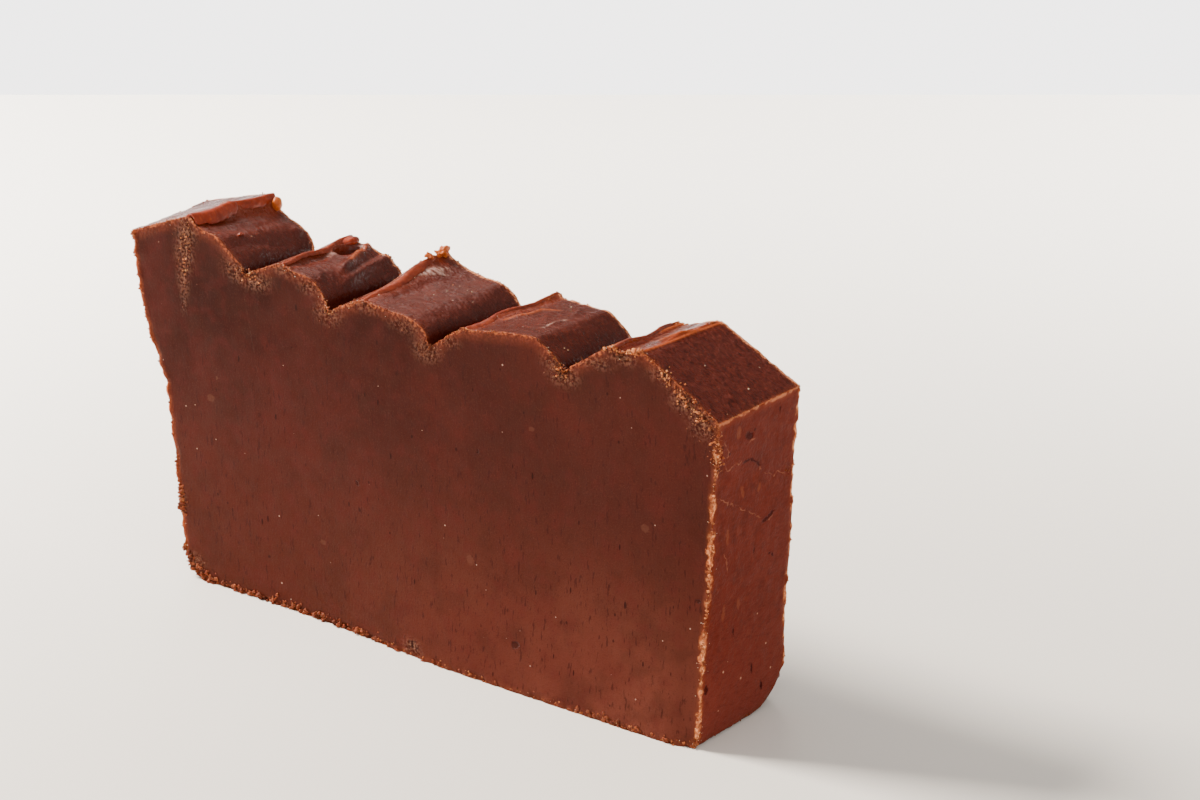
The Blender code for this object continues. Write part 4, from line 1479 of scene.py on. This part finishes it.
def set_skin():
    """The skin that set on the worked top: smooth and softly glossy, with fine paddle ripples whose troughs
    carry painted shade and ridges a painted highlight. It is paler over the crests, a painted glow of light
    through the thin lip, and where it leans back, a painted sheen; it has pale rubbed streaks that are
    partly a painted highlight, and painted shade down in the cracks and the torn pocket."""

    def layers(tree, place):
        # paler over the crests: a painted glow of light through the thin lip
        thin = hold(tree, written(tree, "lip"), 0.7)
        grain = clouds(tree, place, 0.6, 0.3, 0.7, 4.0, jog=0.02)
        coarse = clouds(tree, place, 0.7, 0.35, 0.62, 4.0, (0.5, 1.0, 1.0), 0.6)
        uneven = clouds(tree, place, 1.4, 0.35, 0.65, 4.0, jog=0.33)
        last = cover_along(tree, place, 0, 55.0, 50.0)
        rippled = add(tree, "ShaderNodeMapRange", {"Value": last, "To Min": 0.3, "To Max": 0.75}).outputs[0]
        # Painted shade in the ripples' troughs and painted highlight on their ridges
        troughs = clouds(tree, place, 0.8, 0.52, 0.66, 4.0, (0.35, 1.0, 1.0), 0.7, -RIPPLE_TURN)
        ridges = clouds(tree, place, 0.6, 0.56, 0.68, 4.0, (0.4, 1.0, 1.0), 1.7, -RIPPLE_TURN)
        return (
            (hold(tree, clouds(tree, place, 9.0, 0.4, 0.65, 3.0), 0.6), "#552015"),
            (
                hold(tree, clouds(tree, place, 1.6, 0.5, 0.75, 4.0, stretch=(1.0, 0.3, 1.0)), 0.5),
                "#3a140d",
            ),
            (hold(tree, clouds(tree, place, 0.9, 0.52, 0.72, 3.0, jog=0.4), 0.2), "#63291a"),
            (hold(tree, cover_along(tree, place, 0, 55.0, 53.0), 0.7), "#4e1f18"),
            # darker in the ripples' troughs and paler on their ridges: painted shade and highlight
            (hold(tree, troughs, rippled), "#300e09"),
            (hold(tree, ridges, rippled), "#5f2b1f"),
            # painted glow of light through the thin lip
            (thin, "#843419"),
            # Paler where the skin leans back: a painted sheen, the grazing reflection of the bright room
            (hold(tree, hold(tree, written(tree, "rise"), uneven), 0.7), "#714639"),
            # Dark along the cracks under the folds: painted shade
            (hold(tree, written(tree, "crack"), 0.55), "#340b06"),
            # Dark down in the torn pocket: painted shade
            (hold(tree, written(tree, "hollow"), 0.95), "#1d0503"),
            # Pale streaks: partly smeared bloom where the top was rubbed and partly a painted highlight
            (hold(tree, hold(tree, written(tree, "pale"), coarse), 0.75), "#b18e81"),
            (hold(tree, glow(tree, "skin_edge", 0.9, uneven), 0.7), "#79381f"),
            (hold(tree, written(tree, "bright"), 0.8), "#9b4927"),
            # Bright orange along the back edge of the skin: a painted glow of light through the thin crumbly
            # edge
            (hold(tree, glow(tree, "back_skin_edge", 1.3, uneven), 0.8), "#8b4021"),
            (hold(tree, band(tree, "back_skin_edge", 0.9, grain), 0.95), "#da8b61"),
            (hold(tree, band(tree, "skin_edge", 0.22, grain), 0.8), "#a65530"),
            (specks(tree, place, 4.6, 0.17, jog=0.07), "#9e7c6c"),
        )

    def bumps(tree, place):
        ripples = clouds(tree, place, 0.9, 0.25, 0.75, 4.0, (0.35, 1.0, 1.0), turn=-RIPPLE_TURN)
        return (
            (clouds(tree, place, 2.2, 0.2, 0.8, 3.0, stretch=(1.0, 0.35, 1.0)), 0.14, 0.5),
            (ripples, 0.18, 0.9),
            (clouds(tree, place, 0.35, 0.2, 0.8, 4.0, jog=0.5), 0.035, 0.7),
        )

    def gloss(tree, place):
        left = cover_along(tree, place, 0, 8.0, 42.0)
        level = add(tree, "ShaderNodeMapRange", {"Value": left, "To Min": 0.13, "To Max": 0.25})
        sunk = add(
            tree,
            "ShaderNodeMath",
            {0: written(tree, "crack"), 1: written(tree, "hollow")},
            operation="ADD",
            use_clamp=True,
        )
        ribs = hold(tree, cover_along(tree, place, 0, 44.0, 40.0), cover_along(tree, place, 0, 53.0, 56.0))
        dull = sunk.outputs[0]
        for cover in (hold(tree, written(tree, "rise"), 0.5), hold(tree, ribs, 0.8)):
            dull = add(tree, "ShaderNodeMath", {0: dull, 1: cover}, operation="MAXIMUM").outputs[0]
        bare = add(tree, "ShaderNodeMath", {0: 1.0, 1: dull}, operation="SUBTRACT")
        return hold(tree, level.outputs[0], bare.outputs[0])

    sockets = {"IOR": 1.46, "gloss": gloss}
    return finish_of("set_skin", "#46180f", layers, 0.20, 0.36, bumps, (0.08, 0.8), **sockets)


END_LEAN = 0.001  # about how far the right end is past its foot half way up


def tray_side(shift):
    """The end that set against the tray's lining: flatter and duller than the top, lighter towards its base,
    a painted light that lifts the shade near the floor, with a few pits where air was caught, darkened with
    painted shade, and a pale line along its edges."""
    level = RIGHT_FOOT + END_LEAN

    def layers(tree, place):
        uneven = clouds(tree, place, 2.2, 0.35, 0.65, 5.0, jog=0.33)
        coarse = clouds(tree, place, 0.55, 0.42, 0.62, 3.0, jog=0.6)
        shown = clouds(tree, place, 6.0, 0.40, 0.52, 2.0, jog=0.7)
        worn = hold(tree, clouds(tree, place, 1.4, 0.38, 0.56, 3.0, jog=0.2), 0.6)
        return (
            (hold(tree, clouds(tree, place, 10.0, 0.4, 0.65, 3.0), 0.6), "#5c1f14"),
            (hold(tree, clouds(tree, place, 3.0, 0.5, 0.72, 4.0, jog=0.05), 0.6), "#481810"),
            (hold(tree, clouds(tree, place, 1.5, 0.52, 0.7, 4.0, jog=0.5), 0.4), "#67291a"),
            # Lighter towards the base: painted light that lifts the shade near the floor
            (cover_along(tree, place, 2, 2.0, 26.0), "#672b21"),
            (hold(tree, clouds(tree, place, 0.7, 0.50, 0.64, 4.0, (1.0, 0.55, 1.2), 0.8), 0.3), "#40140d"),
            (hold(tree, clouds(tree, place, 0.6, 0.56, 0.70, 4.0, (1.0, 0.55, 1.2), 0.4), 0.25), "#6c3024"),
            (hold(tree, scars(tree, place, END_BLOTCHES, 0, level, shift), 0.35), "#844227"),
            (hold(tree, scars(tree, place, END_WEB, 0, level, shift, (2.4, 3.0)), worn), "#8e523c"),
            (hold(tree, specks(tree, place, 2.8, 0.45, stretch=(1.0, 0.7, 1.0)), 0.85), "#350d08"),
            (hold(tree, specks(tree, place, 2.6, 0.28, jog=0.07), 0.9), "#ad7961"),
            # the pits on the end, darkened with painted shade
            (hold(tree, scars(tree, place, END_PITS, 0, level, shift), 0.95), "#340401"),
            (hold(tree, glow(tree, "skin_edge", 1.5, uneven), 0.8), "#843a22"),
            (hold(tree, glow(tree, "right_edge", 1.6, uneven), 0.8), "#7c3a22"),
            (hold(tree, band(tree, "right_edge", 0.9, uneven), shown), "#b5633c"),
            (hold(tree, hold(tree, band(tree, "right_edge", 0.8, uneven), coarse), shown), "#eaa06e"),
            (hold(tree, band(tree, "skin_edge", 0.55, uneven), worn), "#c57c57"),
            # Warm orange along the left edge: partly the crumbly rim's own colour and partly a painted glow
            # of light through it
            (hold(tree, glow(tree, "left_edge", 2.6, uneven), 0.9), "#793b21"),
            (hold(tree, glow(tree, "foot_edge", 1.0, uneven), 0.6), "#692f1d"),
        )

    def bumps(tree, place):
        pits = hold(tree, scars(tree, place, END_PITS, 0, level, shift), -1.0)
        return (
            (clouds(tree, place, 2.5, 0.2, 0.8, 4.0), 0.20, 0.7),
            (clouds(tree, place, 0.4, 0.2, 0.8, 4.0), 0.06, 0.7),
            (pits, 0.3, 0.8),
        )

    sockets = {"IOR": 1.45, "Specular_IOR_Level": 0.03}
    return finish_of("tray_side", "#551c12", layers, 0.44, 0.56, bumps, (0.10, 0.8), **sockets)


def torn_fudge(name, base, light, dark):
    """Fudge torn thin: light passes through, so it looks warmer and paler than the mass."""

    def layers(tree, place):
        return (
            (hold(tree, clouds(tree, place, 1.8, 0.4, 0.7, 3.0), 0.7), dark),
            (hold(tree, clouds(tree, place, 0.8, 0.5, 0.8, 3.0, jog=0.2), 0.8), light),
        )

    def bumps(tree, place):
        return ((clouds(tree, place, 0.6, 0.2, 0.8, 4.0), 0.06, 0.6),)

    sockets = {"IOR": 1.46, "Specular_IOR_Level": 0.25}
    return finish_of(name, base, layers, 0.28, 0.45, bumps, (0.25, 1.0), **sockets)


def crumb_fudge(name, base, light, dark):
    """Loose crumbs: dry and matte, paler than the mass, as light goes right through the small ones."""

    def layers(tree, place):
        return (
            (clouds(tree, place, 1.4, 0.4, 0.7, 3.0), light),
            (clouds(tree, place, 2.0, 0.45, 0.7, 3.0, jog=0.2), dark),
        )

    def bumps(tree, place):
        return ((clouds(tree, place, 0.25, 0.2, 0.8, 3.0), 0.03, 0.5),)

    sockets = {"IOR": 1.45, "Specular_IOR_Level": 0.12}
    return finish_of(name, base, layers, 0.5, 0.7, bumps, (0.25, 0.6), **sockets)


# The studio

FLOOR_FAR = 0.957  # from under the camera to where the floor ends
FLOOR_SIZE = 3.0
FLOOR_FINISH = ("pale_floor", "#e8e2da", 0.4)
WALL_FAR = 2.2  # from under the camera
WALL_DROP = 1.5  # the wall lies below the table, so it brightens the background and not the slice
WALL_SIZE = 3.0
WALL_FINISH = ("pale_wall", "#e9e9ee", 0.9)
WALL_LIGHT = "#f2f0f0"
WALL_GLOW = 3.6
STAGE_SHINE = 0.35


def camera_axes():
    """Which way the camera looks, and which way is right and up in its picture."""
    yaw, pitch = math.radians(CAMERA_YAW), math.radians(CAMERA_PITCH)
    forward = Vector((-math.sin(yaw) * math.cos(pitch), math.cos(yaw) * math.cos(pitch), -math.sin(pitch)))
    right = Vector((math.cos(yaw), math.sin(yaw), 0.0))
    return forward, right, right.cross(forward)


def place_camera():
    nothing_selected()
    bpy.ops.object.camera_add()
    camera = bpy.context.object
    camera.name = "portrait_camera"
    camera.data.lens = CAMERA_LENS
    camera.data.sensor_width = CAMERA_SENSOR
    forward, right, up = camera_axes()
    turn = Matrix((right, up, -forward)).transposed().to_4x4()
    camera.matrix_world = Matrix.Translation(CAMERA_PLACE) @ turn
    bpy.context.scene.camera = camera


def plain(name, colour, rough):
    material = bpy.data.materials.new(name)
    material.use_nodes = True
    shader = material.node_tree.nodes["Principled BSDF"]
    shader.inputs["Base Color"].default_value = linear(colour)
    shader.inputs["Roughness"].default_value = rough
    shader.inputs["Specular IOR Level"].default_value = STAGE_SHINE
    return material


def lay_stage():
    """A pale floor that ends behind the slice, and a pale wall beyond it."""
    turn = math.radians(CAMERA_YAW)
    heading = Vector((-math.sin(turn), math.cos(turn), 0.0))
    under = Vector((CAMERA_PLACE[0], CAMERA_PLACE[1], 0.0))
    nothing_selected()
    bpy.ops.mesh.primitive_plane_add(
        size=FLOOR_SIZE,
        location=under + heading * (FLOOR_FAR - 0.5 * FLOOR_SIZE),
        rotation=(0.0, 0.0, turn),
    )
    floor = start_piece("floor")
    floor.data.materials.append(plain(*FLOOR_FINISH))
    nothing_selected()
    bpy.ops.mesh.primitive_plane_add(
        size=WALL_SIZE,
        location=under + heading * WALL_FAR - Vector((0.0, 0.0, WALL_DROP)),
        rotation=(math.radians(90.0), 0.0, turn),
    )
    wall = start_piece("wall")
    backdrop = plain(*WALL_FINISH)
    shader = backdrop.node_tree.nodes["Principled BSDF"]
    shader.inputs["Emission Color"].default_value = linear(WALL_LIGHT)
    shader.inputs["Emission Strength"].default_value = WALL_GLOW
    wall.data.materials.append(backdrop)


# Softboxes: name, place, what it is aimed at, its width and height, its power in watts, its colour and
# how widely it shines, in degrees
Softbox = namedtuple("Softbox", "name place aim size power colour spread")
SOFTBOXES = (
    Softbox("key_window", (-0.85, -0.23, 0.82), (0.0, 0.0, 0.03), (0.35, 0.35), 52.0, "#fff6ea", 180.0),
    Softbox("front_fill", (0.25, -1.3, 0.75), (0.0, 0.0, 0.03), (1.2, 0.9), 3.0, "#fffefc", 180.0),
    Softbox("side_fill", (1.2, -0.5, 0.6), (0.0, 0.0, 0.03), (0.8, 0.8), 10.0, "#ffffff", 180.0),
    Softbox("back_sheen", (-0.62, 0.78, 0.85), (0.0, 0.0, 0.06), (0.3, 0.2), 1.6, "#fff2ea", 180.0),
    Softbox("far_floor_left", (-0.48, 0.05, 0.45), (-0.48, 0.05, 0.0), (0.6, 0.5), 5.0, "#ffffff", 70.0),
    Softbox("far_floor_right", (0.10, 0.50, 0.45), (0.10, 0.50, 0.0), (0.6, 0.5), 5.0, "#ffffff", 70.0),
)
ROOM_COLOUR = "#f4ede4"
ROOM_STRENGTH = 0.6
ROOM_FAR_COLOUR = "#a29c95"  # the room is darker beyond the slice, so its level parts stay deep in colour
ROOM_FAR_WAY = (-0.48, 0.79, 0.37)
ROOM_FAR_FROM, ROOM_FAR_TO = 0.7, 0.92  # as the cosine of the angle to that way


def light_stage():
    for box in SOFTBOXES:
        nothing_selected()
        bpy.ops.object.light_add(type="AREA", location=box.place)
        lamp = bpy.context.object
        lamp.name = box.name
        lamp.rotation_mode = "QUATERNION"
        lamp.rotation_quaternion = (Vector(box.aim) - Vector(box.place)).to_track_quat("-Z", "Y")
        lamp.data.shape = "RECTANGLE"
        lamp.data.size, lamp.data.size_y = box.size
        lamp.data.energy = box.power
        lamp.data.color = linear(box.colour)[:3]
        lamp.data.spread = math.radians(box.spread)
    world = bpy.data.worlds.new("pale_room")
    world.use_nodes = True
    tree = world.node_tree
    way = add(tree, "ShaderNodeTexCoord", {}).outputs["Generated"]
    toward = add(tree, "ShaderNodeVectorMath", {0: way, 1: ROOM_FAR_WAY}, operation="DOT_PRODUCT")
    far = add(
        tree,
        "ShaderNodeMapRange",
        {"Value": toward.outputs["Value"], "From Min": ROOM_FAR_FROM, "From Max": ROOM_FAR_TO},
    )
    mixed = add(
        tree,
        "ShaderNodeMix",
        {MIX_FACTOR: far.outputs[0], MIX_A: linear(ROOM_COLOUR), MIX_B: linear(ROOM_FAR_COLOUR)},
        data_type="RGBA",
    )
    background = tree.nodes["Background"]
    tree.links.new(mixed.outputs[MIX_COLOUR], background.inputs["Color"])
    background.inputs["Strength"].default_value = ROOM_STRENGTH
    bpy.context.scene.world = world


def dress(piece, materials):
    """Gives a piece its finishes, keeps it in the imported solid's box and lets it ride with the slice."""
    piece.data.materials.clear()
    for material in materials:
        piece.data.materials.append(material)
    places = points_of(piece)
    put_points(piece, np.clip(places, CAD_BOX[0], CAD_BOX[1]))
    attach(piece, "root")


def main():
    place_camera()
    lay_stage()
    light_stage()

    body = slice_cage()
    low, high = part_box("fudge")
    rest = points_of(body)
    shift = 0.5 * (np.array(low) + np.array(high) - rest.min(0) - rest.max(0))
    shift[2] = 0.0
    work_top(body)
    crumble_patches(body)
    crumble_edges(body)
    mark_edges(body)
    lips = [make_lip(lip) for lip in LIPS]
    lumps = [make_lump(lump) for lump in LUMPS]
    pieces = []
    for name, clings, roughness, seed in (
        ("fudge_crumbs", BROWN_CLING, 0.9, 3),
        ("orange_crumbs", ORANGE_CLING, 0.9, 4),
        ("rim_crumbs", TAN_CLING, 0.8, 5),
        ("sugar_grains", SUGAR_CLING, 0.5, 8),
    ):
        draw = random.Random(seed)
        spots = cling_spots(body, clings, draw, seed)
        if name == "sugar_grains":
            spots += grain_spots(body, draw)
        pieces.append(scatter(name, spots, roughness, draw))
    draw = random.Random(13)
    pieces.append(scatter("face_crumbs", patch_spots(body, draw), 0.8, draw, 1))

    cut, skin, side = knife_cut_fudge(shift), set_skin(), tray_side(shift)
    warm_torn = torn_fudge("warm_torn_fudge", "#802c15", "#a64521", "#632111")
    dull_torn = torn_fudge("dull_torn_fudge", "#772d18", "#9b4524", "#571d12")
    bright_torn = torn_fudge("bright_torn_fudge", "#ad521a", "#c86e2a", "#863714")
    torn_kinds = {"curled_lip": warm_torn, "rolled_lip": warm_torn, "lip_bead": bright_torn}
    torn_kinds.update({"torn_peak": bright_torn, "torn_peak_chip": bright_torn, "second_lip_end": warm_torn})
    body_finishes = {FRONT: cut, BACK: cut, LEFT: side, RIGHT: side, TOP: skin, BASE: cut}
    join_flat_middle(body)
    kinds = body.data.polygons
    slots = np.empty(len(kinds), np.int32)
    kinds.foreach_get("material_index", slots)
    finished = [(body, [body_finishes[number] for number in range(6)])]
    finished += [(piece, [torn_kinds.get(piece.name, dull_torn)]) for piece in lips + lumps]
    colours = (
        ("brown_crumbs", "#672f1b", "#864326", "#451c11"),
        ("orange_crumbs", "#814224", "#a25d37", "#612d19"),
        ("tan_crumbs", "#ad633a", "#d48e5f", "#864426"),
        ("sugar_grains", "#b89981", "#d7c2ad", "#956c55"),
        ("pale_crumbs", "#592f1e", "#794630", "#3f1b12"),
    )
    for piece, (name, base, light, dark) in zip(pieces, colours):
        finished.append((piece, [crumb_fudge(name, base, light, dark)]))
    for piece, materials in finished:
        put_points(piece, points_of(piece) + shift)
        dress(piece, materials)
    body.data.polygons.foreach_set("material_index", slots)
    body.data.update()
    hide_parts("fudge")


main()
